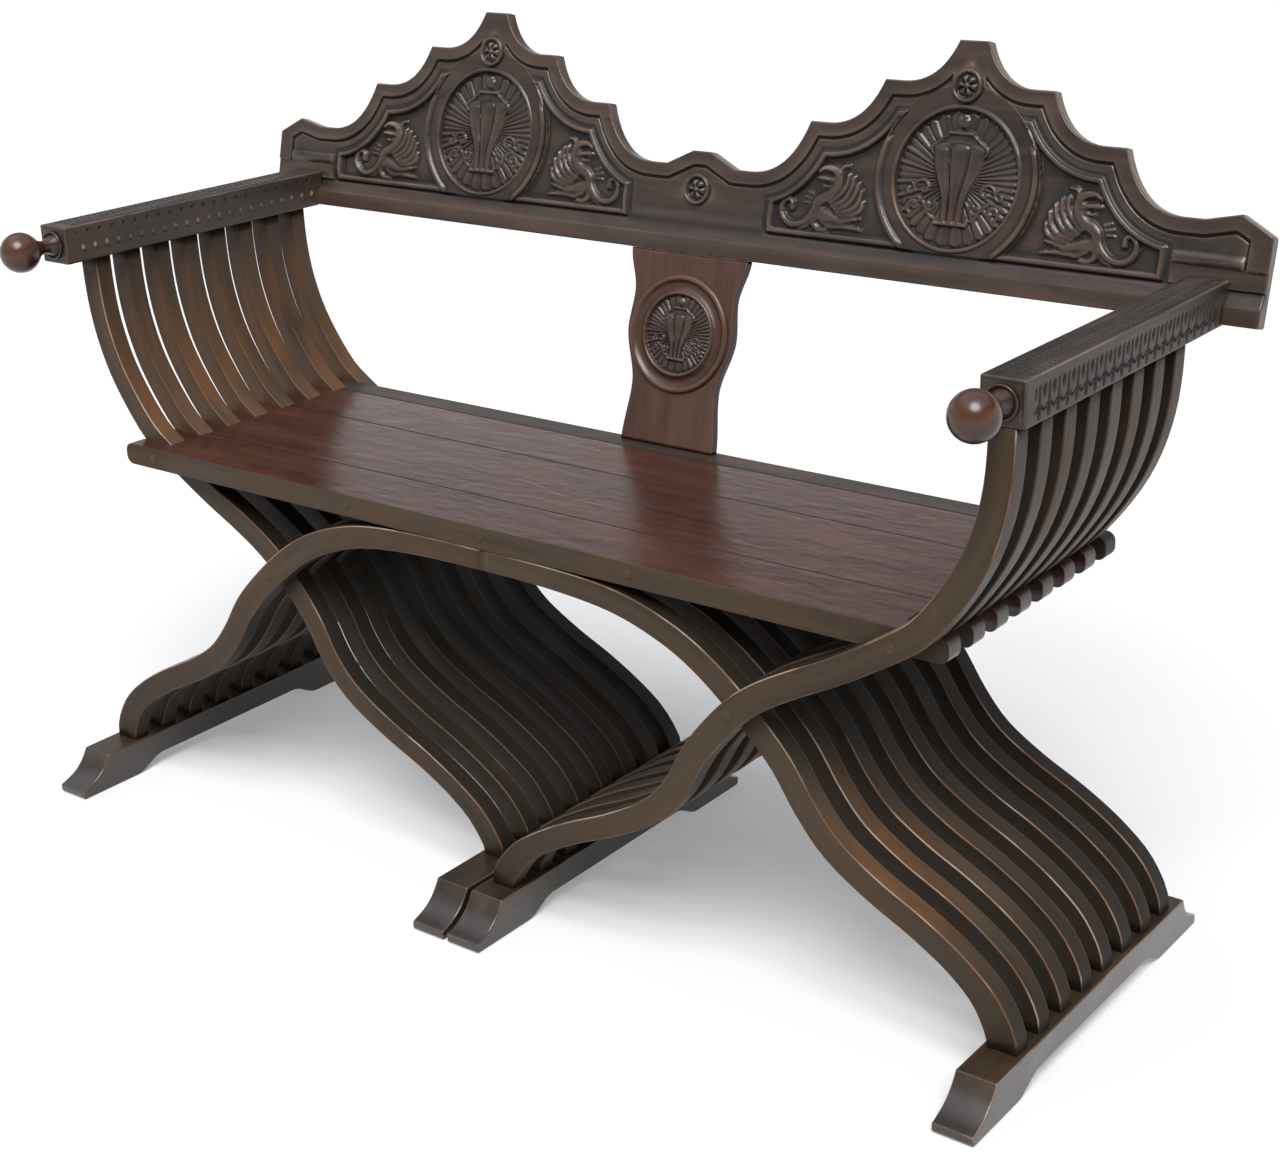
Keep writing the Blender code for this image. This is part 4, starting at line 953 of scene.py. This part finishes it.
def crest_height(top, x, up):
    """Height of the carved front over the plain board."""
    x = np.abs(x)
    away = np.abs(x - PEAK_X)
    reach = np.where(x > PEAK_X, PANEL_REACH[1], PANEL_REACH[0])
    from_top = top_distance(top, x, up)
    ring = np.hypot(away, up - MEDALLION_RISE)
    inside = np.minimum(np.minimum(from_top - FRAME_INSET, up - PANEL_FOOT),
                        np.minimum(reach - away, ring - MEDALLION_RADIUS))
    slope = np.clip((up - LEDGE) / (COVE_TOP - LEDGE), 0.0, 1.0)
    ease = np.clip((up - COVE_TOP) / SLOPE_RUN, 0.0, 1.0)
    start = LEDGE_PROUD - LEDGE_STEP * (up > LEDGE)
    height = start + (SLOPE_FOOT - start) * slope - SLOPE_FOOT * ease * ease * (3 - 2 * ease)
    end_field = (x > PEAK_X + PANEL_REACH[1] + FRAME_BEAD + FRAME_COVE) & (up > COVE_TOP)
    ridge = END_RIDGE_TALL * bead(up - END_RIDGE_RISE, END_RIDGE_HALF) ** 2
    height = np.where(end_field, np.maximum(ridge, height), height)
    frame_share = (-inside - FRAME_BEAD) / FRAME_COVE
    gap, half, deep = FOOT_LINE
    frame_hollow = np.where(up < PANEL_FOOT, -deep * bead(inside + FRAME_BEAD + gap, half),
                            -COVE_DEEP * np.sin(pi * np.clip(frame_share, 0.0, 1.0)))
    height += frame_hollow + BEAD_RISE * bead(inside + FRAME_BEAD / 2, FRAME_BEAD / 2)
    wall = np.clip(inside / WALL, 0.0, 1.0)
    sunk = -PANEL_DEEP * wall * wall * (3 - 2 * wall)
    height = np.where(inside > 0, sunk + griffin_height(away, up) * (inside > WALL / 2), height)
    strip = (x > END_GROOVE_X) & (up > END_RIDGE_RISE - END_RIDGE_HALF)
    crown = (away < CROWN_HALF) & (up > PEAK_ROSETTE_RISE)
    height = np.where((from_top < BAND) | strip | crown, BAND_PROUD, height)
    groove = np.where((x < END_GROOVE_X) & ~crown, np.abs(from_top - BAND - GROOVE_HALF), 1.0)
    upright = (up > END_RIDGE_RISE - END_RIDGE_HALF) & (from_top > BAND)
    groove = np.minimum(groove, np.where(upright, np.abs(x - END_GROOVE_X), 1.0))
    height -= (GROOVE_DEEP + height) * bead(groove, GROOVE_HALF)
    under_disc = (ring < MEDALLION_RADIUS - POCKET_EDGE) & (up > PANEL_FOOT - 2 * MM)
    peak_flower = np.hypot(away, up - PEAK_ROSETTE_RISE)
    under_flower = np.minimum(peak_flower, np.hypot(x, up - CENTRE_ROSETTE_RISE)) < FLOWER_POCKET
    return np.where(under_disc | under_flower, -POCKET_DEEP, height)


def softened(height, rounds):
    """A grid of heights, each evened out with its neighbours a number of times."""
    for _ in range(rounds):
        padded = np.pad(height, 1, mode="edge")
        height = (padded[:-2, 1:-1] + padded[2:, 1:-1] + padded[1:-1, :-2] + padded[1:-1, 2:]) / 4
    return height


def relief_wear(height):
    """Wear from a grid of heights: high places rubbed, hollows and sunk grounds dark."""
    wear_and_painted_light = np.zeros_like(height)
    for rounds, rub, dirt_and_painted_light in RELIEF_WEAR:
        over = height - softened(height, rounds)
        wear_and_painted_light += over * np.where(over > 0, rub, dirt_and_painted_light)
    return np.clip(wear_and_painted_light, -1.0, MOST_WEAR)


def make_crest():
    top = crest_top()
    rounding = CREST_ROUNDING
    turns = np.linspace(0, pi / 2, 4)
    end = rounding * (1 - np.column_stack([np.cos(turns), np.sin(turns)]))
    panels = [np.arange(PEAK_X - PANEL_REACH[0] - FRAME_BEAD, PEAK_X - MEDALLION_RADIUS / 2, FINE_STEP),
              np.arange(PEAK_X + MEDALLION_RADIUS / 2, PEAK_X + PANEL_REACH[1] + FRAME_BEAD, FINE_STEP)]
    plain = np.arange(0.0, CREST_HALF_LENGTH - rounding, PLAIN_STEP)
    for panel in panels:
        plain = plain[(plain < panel[0] - FINE_STEP) | (plain > panel[-1] + FINE_STEP)]
    grooves = END_GROOVE_X + GROOVE_HALF * np.array([-1.0, -0.5, 0.0, 0.5, 1.0])
    marks = np.array([*grooves, *top[1:-1, 0], CREST_HALF_LENGTH - rounding])
    even = np.concatenate([plain, *panels])
    even = even[np.abs(even[:, None] - marks).min(axis=1) > CLOSEST]
    half = np.unique(np.concatenate([even, marks]))
    middle = np.concatenate([-half[:0:-1], half])
    x = np.concatenate([-CREST_HALF_LENGTH + end[:-1, 0], middle, CREST_HALF_LENGTH - end[-2::-1, 0]])
    inset = np.concatenate([end[:-1, 1], np.zeros_like(middle), end[-2::-1, 1]])
    up = crest_rows(top, x, inset)
    height = crest_height(top, np.repeat(x[:, None], up.shape[1], axis=1), up)
    wear_and_painted_light = relief_wear(height)
    height = height - inset[:, None]
    back = -CREST_THICKNESS + inset
    quarter = np.linspace(0, pi / 2, 5)
    coarse = np.linspace(0, pi / 2, 4)
    # Rounded edges in two halves: turns, the face they leave, the way inwards and the wear
    round_top = ((quarter[1:], height[:, -1], -1, 0.9), (coarse[::-1], back, 1, 0.5))
    round_foot = ((coarse, back, 1, 0.5), (quarter[:0:-1], height[:, 0], -1, 0.7))
    rows = []
    for rise, lift, halves in ((up[:, -1], 1, round_top), (up[:, 0], -1, round_foot)):
        for turns, face, inwards, worn in halves:
            for turn in turns:
                rows.append((rise + lift * rounding * sin(turn), face + inwards * rounding * (1 - cos(turn)),
                             np.full_like(x, worn)))
    edge_up, edge_out, edge_wear = zip(*rows)
    up = np.column_stack([up, *edge_up])
    out = np.column_stack([height, *edge_out])
    wear_and_painted_light = np.column_stack([wear_and_painted_light, *edge_wear])
    across = np.repeat(x[:, None], up.shape[1], axis=1)
    add_rings("walnut_crest_rail", back_place(across, up, out), np.stack([across, up, out], axis=-1), wear_and_painted_light,
              CARVED_WALNUT, "carved_walnut", "back", "crest_rail")


# Medallions and rosettes

RAYS = 42
RAY_CROWDING = 0.22      # towards the sides of the disc
RAY_TALL = 2.9           # in mm
RAY_START = 0.35         # share of the radius from which rays have their full height
RAY_END = (0.0062, 0.0042)      # gap from rays to the rim, and how much less it is on their ridges
BEYOND_RAYS = -0.8       # height of the ground there in mm
DISC_SUNK = 0.0032       # ground of a medallion below the board
LIP_IN, LIP_OUT = 0.0733, 0.0790
LIP_TALL = 0.0034
RIM = (0.0003, 0.0011, 0.0006)            # height of a medallion's rim, how much more at its lip and at a panel
SIDE_BEAD = (0.0944, 0.0038, 0.0034)      # radius, half width and height of the bead beside a panel
SIDE_REACH = (0.042, 0.052)               # it lies below this rise and outside this distance across
SIDE_FADE = 0.008
DISC_FOOT = MEDALLION_RISE - COVE_TOP - 0.001
SPLAT_SCALE = 0.62       # of the carving in the splat's medallion
SPLAT_GROUND = 0.0008    # its ground over the board
SPLAT_LIP_IN = 0.0455
SPLAT_LIP = (0.0480, 0.0030, 0.0056)      # radius, half width and height of the inner moulding
SPLAT_RING = (0.0655, 0.0041, 0.0046)     # the same of the outer one
SPLAT_COVE = (0.0495, 0.0140, 0.0034, 0.0030)   # start, width, height and depth of the hollow between them
COVE_REACH = (0.0490, 0.0650)             # radii between which it is seen
PETAL = (0.0130, 0.0052)                  # length and height
FLOWER_EYE = (0.0044, 0.0060)             # radius and height
FLOWER_RING = (0.0157, 0.0030, 0.0050)    # radius, half width and height
MOULDING_DIRT = -0.3     # most dirt on the mouldings round the splat's medallion
# Outline of the urn from its collar to its foot plate, in mm up from the medallion's middle: rise, half width
URN = ((51, 15.8), (45.5, 16.2), (33, 34.0), (29, 32.2), (24, 31.2), (15, 29.8), (7, 27.2), (-1, 23.6),
       (-9.5, 19.6), (-18, 16.3), (-26, 14.1), (-34, 12.9), (-46, 12.6))
URN_HEIGHTS = (1.4, 3.4, 1.8)    # of the body, and over it of the lobes and of the slopes to the collar
LOBES = ((0.0, 0.32), (0.68, 0.28))       # middle and half width, as shares of the urn's half width
LOBE_TOP = 38
LOBE_FADE = 8
COLLAR = (48.5, 2.9, 16.4)       # rise, half height and half width
FOOT_PLATE = (-47.5, 2.9, 20.8)
BAR_TALL = 5.0                   # height of both
KNOB = (61.5, 8.8, 4.6, 0.7)     # rise, radius, height and its change over five lobes
# Strokes in mm: line, half widths, height
SHOULDER = (((16, 46), (25, 39.5), (33.5, 33), (31.5, 25)), (1.6, 1.7, 1.8, 1.0), 4.6)
STEM = (((17, -44), (27, -40), (37, -26), (46, -22), (60, -26)), (2.0, 2.6, 1.4), 2.8)
# Leaf scrolls beside the urn's foot: middle across and up, first turn, reach
SCROLLS = ((38, -12, 0.4, 10.5), (29, -29, 2.4, 9.0), (47, -32, -0.9, 9.0), (55, -14, 1.8, 7.5))
SCROLL_TURN = 5.2
SCROLL_CLOSING = 0.85            # share of the reach that is lost on the way in
SCROLL_LEAF = ((1.6, 2.9, 2.6), 3.2)      # half widths and height
# Radii of the rings of points, each with the number of steps that lead to it, and points in a ring
BIG_RINGS = ((LIP_IN, 64), (LIP_OUT, 9), (MEDALLION_RADIUS, 16))
SMALL_RINGS = ((SPLAT_LIP_IN, 46), (0.0507, 8), (0.0618, 8), (0.0695, 8))
FLOWER_RINGS = ((0.0134, 12), (0.0187, 8))
BIG_POINTS, SMALL_POINTS, FLOWER_POINTS = 400, 340, 96
FIRST_RADIUS = 0.0004
DISC_SINK = 0.0046               # rim of a disc below the board's face
RIM_DIRT = -0.3


def urn_height(a, u):
    """An urn with three lobes, sharp shoulders, a collar, a knob and a foot plate; across and up in mm."""
    rises, halves = np.array(URN).T
    half = np.interp(-u, -rises, halves)
    v = np.abs(a) / half
    lobes = np.max([bead(v - middle, wide) for middle, wide in LOBES], axis=0)
    below_top = np.sqrt(np.clip((LOBE_TOP - u) / LOBE_FADE, 0.0, 1.0))
    base, lobe, slope = URN_HEIGHTS
    body = base + np.where(u < LOBE_TOP, lobe * lobes * below_top, slope * (1 - v))
    height = np.where((v < 1) & (u < rises[0]) & (u > rises[-1]), body, 0.0)
    height = np.maximum(height, stroke(np.abs(a) * MM, u * MM, *SHOULDER) / MM)
    for rise, tall, wide in (COLLAR, FOOT_PLATE):
        bar = bead(u - rise, tall) * np.clip((wide - np.abs(a)) / 0.8, 0.0, 1.0)
        height = np.maximum(height, BAR_TALL * bar)
    rise, radius, tall, change = KNOB
    turn = np.arctan2(u - rise, a)
    return np.maximum(height, (tall + change * np.cos(5 * turn)) * bead(np.hypot(a, u - rise), radius))


def scroll_height(a, u):
    """Leafy scrolls at both sides of an urn's foot; across and up in mm."""
    height = np.zeros_like(a)
    for middle_a, middle_u, start, reach in SCROLLS:
        line = []
        for t in np.linspace(0.0, 1.0, 10):
            turn = start + SCROLL_TURN * t
            radius = reach * (1 - SCROLL_CLOSING * t)
            line.append((middle_a + radius * cos(turn), middle_u + radius * sin(turn)))
        height = np.maximum(height, stroke(np.abs(a) * MM, u * MM, line, *SCROLL_LEAF))
    return np.maximum(height, stroke(np.abs(a) * MM, u * MM, *STEM)) / MM


def disc_ground(across, up, rim, size):
    """Carving inside a medallion: rays with round ends, scrolls and the urn over them."""
    a, u = across / size / MM, up / size / MM
    r = np.hypot(across, up)
    turn = np.arctan2(up, across)
    crowded = RAYS / 2 * (turn + RAY_CROWDING * np.sin(2 * turn))
    ridge = np.abs(np.cos(crowded))
    ray_end = rim - RAY_END[0] * size + RAY_END[1] * size * ridge
    uneven = 0.72 + 0.28 * np.sin(3.1 * np.floor(crowded / pi + 0.5))
    rays = np.where(r < ray_end, RAY_TALL * ridge ** 0.8 * uneven, BEYOND_RAYS)
    rays = rays * np.clip(r / (RAY_START * rim), 0, 1)
    height = np.maximum(rays, np.maximum(scroll_height(a, u), urn_height(a, u)))
    return height * MM * size ** 0.4 - DISC_SUNK


def crest_medallion(across, up):
    """Disc in a rounded lip; its ring runs level into the field above and has a bead beside the panels."""
    r = np.hypot(across, up)
    ground = disc_ground(across, up, LIP_IN, 1.0)
    lip = LIP_TALL * bead(r - (LIP_IN + LIP_OUT) / 2, (LIP_OUT - LIP_IN) / 2)
    away = np.clip((r - LIP_OUT) / (MEDALLION_RADIUS - LIP_OUT), 0.0, 1.0)
    highest, nearest = SIDE_REACH
    beside = np.clip((highest - up) / SIDE_FADE, 0.0, 1.0)
    beside = beside * np.clip((np.abs(across) - nearest) / SIDE_FADE, 0.0, 1.0)
    radius, half, tall = SIDE_BEAD
    rim, more_at_lip, more_beside = RIM
    ring = rim + more_at_lip * (1 - away) + beside * (more_beside + tall * bead(r - radius, half))
    return np.where(r < LIP_IN, ground, np.maximum(lip, ring * (r > LIP_OUT - 0.0008)))


def splat_medallion(across, up):
    r = np.hypot(across, up)
    ground = disc_ground(across, up, SPLAT_LIP_IN, SPLAT_SCALE) + DISC_SUNK + SPLAT_GROUND
    radius, half, tall = SPLAT_LIP
    lip = tall * bead(r - radius, half)
    start, width, tall, deep = SPLAT_COVE
    cove = tall - deep * np.sin(pi * np.clip((r - start) / width, 0, 1))
    radius, half, tall = SPLAT_RING
    outer = tall * bead(r - radius, half)
    near, far = COVE_REACH
    ring = np.maximum(np.where((r > near) & (r < far), cove, 0.0), np.maximum(lip, outer))
    return np.where(r < SPLAT_LIP_IN, ground, ring)


def rosette(across, up):
    """A ring round a six-petalled flower with a bead in its middle."""
    r = np.hypot(across, up)
    turn = np.arctan2(up, across)
    length, tall = PETAL
    petal = tall * np.abs(np.cos(3 * turn + 0.4)) ** 0.6 * np.sin(pi * np.clip(r / length, 0, 1)) ** 0.7
    radius, tall = FLOWER_EYE
    middle = tall * bead(r, radius)
    radius, half, tall = FLOWER_RING
    ring = tall * bead(r - radius, half)
    return np.maximum(np.maximum(petal, middle), ring) - 1.0 * MM


def add_disc(name, middle_x, middle_up, front, radii, sides, carving, finish, lip=None, foot=None):
    """A round carving on the back: rings of points from its middle to a rim sunk in the board.

    With foot, what lies outside the lip is cut off level at that drop from the middle.
    """
    radii = np.array([*radii, radii[-1]])
    turns = np.linspace(0.0, 2 * pi, sides, endpoint=False)
    spread = np.repeat(radii[:, None], sides, axis=1)
    if foot:
        limit = np.where(np.sin(turns) < 0, foot / np.maximum(-np.sin(turns), 1e-6), radii[-1])
        limit = np.minimum(limit, radii[-1])
        outside = radii > lip
        spread[outside] = lip + (spread[outside] - lip) * (limit - lip) / (radii[-1] - lip)
    across = spread * np.cos(turns)
    up = spread * np.sin(turns)
    height = carving(across, up)
    wear_and_painted_light = relief_wear(np.tile(height, (1, 3)))[:, sides:2 * sides]
    wear_and_painted_light[-2:] = RIM_DIRT
    height[-1] = -DISC_SINK
    across, up, out = across + middle_x, up + middle_up, front + height
    return add_rings(name, back_place(across, up, out), np.stack([across, up, out], axis=-1), wear_and_painted_light, finish,
                     "carved_walnut", "back")


def ring_steps(marks):
    """Radii from mark to mark, given as pairs of a radius and the steps that lead to it."""
    radii = [FIRST_RADIUS]
    for radius, steps in marks:
        radii += list(np.linspace(radii[-1], radius, steps + 1)[1:])
    return radii


def make_carvings():
    big, small, flower = (ring_steps(marks) for marks in (BIG_RINGS, SMALL_RINGS, FLOWER_RINGS))
    lip = LIP_OUT - 0.0005
    for side, label in ((-1, "left"), (1, "right")):
        add_disc(f"walnut_{label}_medallion", side * PEAK_X, MEDALLION_RISE, 0.0, big, BIG_POINTS, crest_medallion,
                 CARVED_WALNUT, lip, DISC_FOOT)
        add_disc(f"walnut_{label}_rosette", side * PEAK_X, PEAK_ROSETTE_RISE, 1.8 * MM, flower, FLOWER_POINTS,
                 rosette, CARVED_WALNUT)
    add_disc("walnut_centre_rosette", 0.0, CENTRE_ROSETTE_RISE, 1.0 * MM, flower, FLOWER_POINTS, rosette,
             CARVED_WALNUT)
    disc = add_disc("walnut_splat_medallion", 0.0, -SPLAT_MEDALLION_DROP, SPLAT_PROUD, small, SMALL_POINTS,
                    splat_medallion, CARVED_WALNUT)
    # The mouldings are cleaner and browner than the carving inside them
    disc.data.materials.append(SPLAT_WALNUT)
    ground = SMALL_POINTS * sum(radius < SPLAT_LIP_IN for radius in small)
    for face in disc.data.polygons:
        face.material_index = int(face.index >= ground)
    wear_and_painted_light = disc.data.attributes["wear_and_painted_light"].data
    for spot in range(ground, len(wear_and_painted_light)):
        wear_and_painted_light[spot].value = max(wear_and_painted_light[spot].value, MOULDING_DIRT)


SPLAT_RINGS = 57
SPLAT_ROUNDING = 0.0020
SPLAT_EDGE_WEAR = 1.2
# Painted shade on the splat's side faces
SPLAT_SIDE_SHADE = -0.8


def make_splat():
    """Waisted board between seat and crest rail, cut level where it stands on the seat."""
    rings, grain, wear_and_painted_light = [], [], []
    for share in np.linspace(0.0, 1.0, SPLAT_RINGS):
        wide = 2 * eased(np.array([share]), SPLAT_MARKS)[0]
        spots, outward, rounded = section(wide, SPLAT_THICKNESS, SPLAT_ROUNDING)
        p, q = spots.T
        out = SPLAT_PROUD - SPLAT_THICKNESS / 2 + q
        foot = (SEAT_HEIGHT + FIT - CREST_BOTTOM - out * sin(BACK_LEAN)) / cos(BACK_LEAN)
        up = -FIT + (foot + FIT) * share
        rings.append(back_place(p, up, out))
        grain.append(np.column_stack([up, p, q]))
        # The side faces are darkened as painted shade, and the edges rubbed pale
        wear_and_painted_light.append(np.where(np.abs(outward[:, 0]) > 0.9, SPLAT_SIDE_SHADE, SPLAT_EDGE_WEAR * rounded))
    add_rings("walnut_splat", np.array(rings), np.array(grain), np.array(wear_and_painted_light), SPLAT_WALNUT, "carved_walnut",
              "back", "splat")


# Studio

CAMERA_PLACE = (1.4496, -1.7809, 1.2193)
CAMERA_TURN = (-37.738, -20.930, -1.713)   # yaw, pitch and roll in degrees
LENS = 60.14
UNSEEN_LIGHT = 0.21                        # of the surround, as it falls on things
# What polished wood mirrors, by the rise or depth of a direction: from, to, first level and last level
MIRRORED_WALL = (0.24, 0.37, 1.0, 0.1)
MIRRORED_CEILING = (0.55, 0.75, 0.0, 1.0)
MIRRORED_DEPTH = (-0.4, 0.3, 0.45, 1.0)
# Lamps with their strength, and their spread and turn in degrees
LAMPS = (("key", 3.2, 36, (34, 0, 32)), ("fill", 0.4, 80, (45, 0, -60)))
FLOOR_GLOW = 0.28                          # share of the seen floor that glows; the rest takes light and shadow


def make_camera():
    """Camera at the photograph's place; angles and lens fitted to the settee's straight edges."""
    yaw, pitch, roll = (radians(turn) for turn in CAMERA_TURN)
    ahead = Vector((sin(yaw) * cos(pitch), cos(yaw) * cos(pitch), sin(pitch)))
    right = ahead.cross(Vector((0, 0, 1))).normalized()
    up = right.cross(ahead)
    turned_right = cos(roll) * right + sin(roll) * up
    turned_up = cos(roll) * up - sin(roll) * right
    camera = bpy.data.cameras.new("camera")
    camera.lens = LENS
    camera.sensor_width = 36.0
    stand = bpy.data.objects.new("camera", camera)
    stand.matrix_world = Matrix.Translation(CAMERA_PLACE) @ Matrix(
        (turned_right, turned_up, -ahead)).transposed().to_4x4()
    bpy.context.scene.collection.objects.link(stand)
    bpy.context.scene.camera = stand


def seen_directly(tree):
    """1 for camera, mirror and glass rays, 0 for the light that falls on things."""
    path = add(tree, "LightPath").outputs
    eye = reckon(tree, "MAXIMUM", path["Is Camera Ray"], path["Is Glossy Ray"])
    return reckon(tree, "MAXIMUM", eye, path["Is Transmission Ray"])


def make_studio():
    """Pale floor, white backdrop and two soft lamps at a plain level.

    Polished wood mirrors a room: a wall that darkens upwards and towards the front, and a pale ceiling.
    """
    scene = bpy.context.scene
    scene.view_settings.view_transform = "Standard"
    world = bpy.data.worlds.new("studio")
    scene.world = world
    world.use_nodes = True
    tree = world.node_tree
    tree.nodes.clear()
    direction = add(tree, "TexCoord").outputs["Generated"]
    parts = add(tree, "SeparateXYZ", None, {0: direction}).outputs
    ceiling = remap(tree, parts["Z"], *MIRRORED_CEILING)
    wall = remap(tree, parts["Z"], *MIRRORED_WALL)
    depth = remap(tree, parts["Y"], *MIRRORED_DEPTH)
    room = reckon(tree, "MAXIMUM", reckon(tree, "MULTIPLY", wall, depth), ceiling)
    dome = reckon(tree, "MAXIMUM", room, add(tree, "LightPath").outputs["Is Camera Ray"])
    level = remap(tree, seen_directly(tree), 0.0, 1.0, UNSEEN_LIGHT, dome)
    tint = blend(tree, ceiling, linear("fdfdfd"), linear("dbe4ff"))
    surround = add(tree, "Background", None, {"Color": tint, "Strength": level})
    add(tree, "OutputWorld", None, {"Surface": surround.outputs[0]})
    for name, strength, angle, turn in LAMPS:
        lamp = bpy.data.lights.new(name, "SUN")
        lamp.energy = strength
        lamp.angle = radians(angle)
        stand = bpy.data.objects.new(name, lamp)
        stand.rotation_euler = [radians(t) for t in turn]
        scene.collection.objects.link(stand)
    floor = bmesh.new()
    bmesh.ops.create_grid(floor, x_segments=8, y_segments=8, size=30.0)
    floor = bmesh_object("floor", floor)
    paper = bpy.data.materials.new("matt_paper_floor")
    paper.use_nodes = True
    tree = paper.node_tree
    tree.nodes.clear()
    seen = seen_directly(tree)
    glow = add(tree, "Emission", None, {"Color": linear("fdfdfd"), "Strength": 1.0})
    matt = add(tree, "BsdfDiffuse", None, {"Color": blend(tree, seen, linear("484848"), linear("fcfcfc"))})
    share = reckon(tree, "MULTIPLY", seen, FLOOR_GLOW)
    mixed = add(tree, "MixShader", None, {0: share, 1: matt.outputs[0], 2: glow.outputs[0]})
    add(tree, "OutputMaterial", None, {"Surface": mixed.outputs[0]})
    floor.data.materials.append(paper)


make_camera()
make_studio()
for hand, label in ((-1, "left"), (1, "right")):
    make_slats(f"{label}_arm_slat", arm_slat_line(), hand)
    make_slats(f"{label}_arch_slat", arch_slat_line(), hand)
    make_arm(f"{label}_arm", hand)
    make_finial(f"{label}_finial", hand * ARM_X)
make_feet()
make_seat()
make_pegs()
make_crest()
make_carvings()
make_splat()
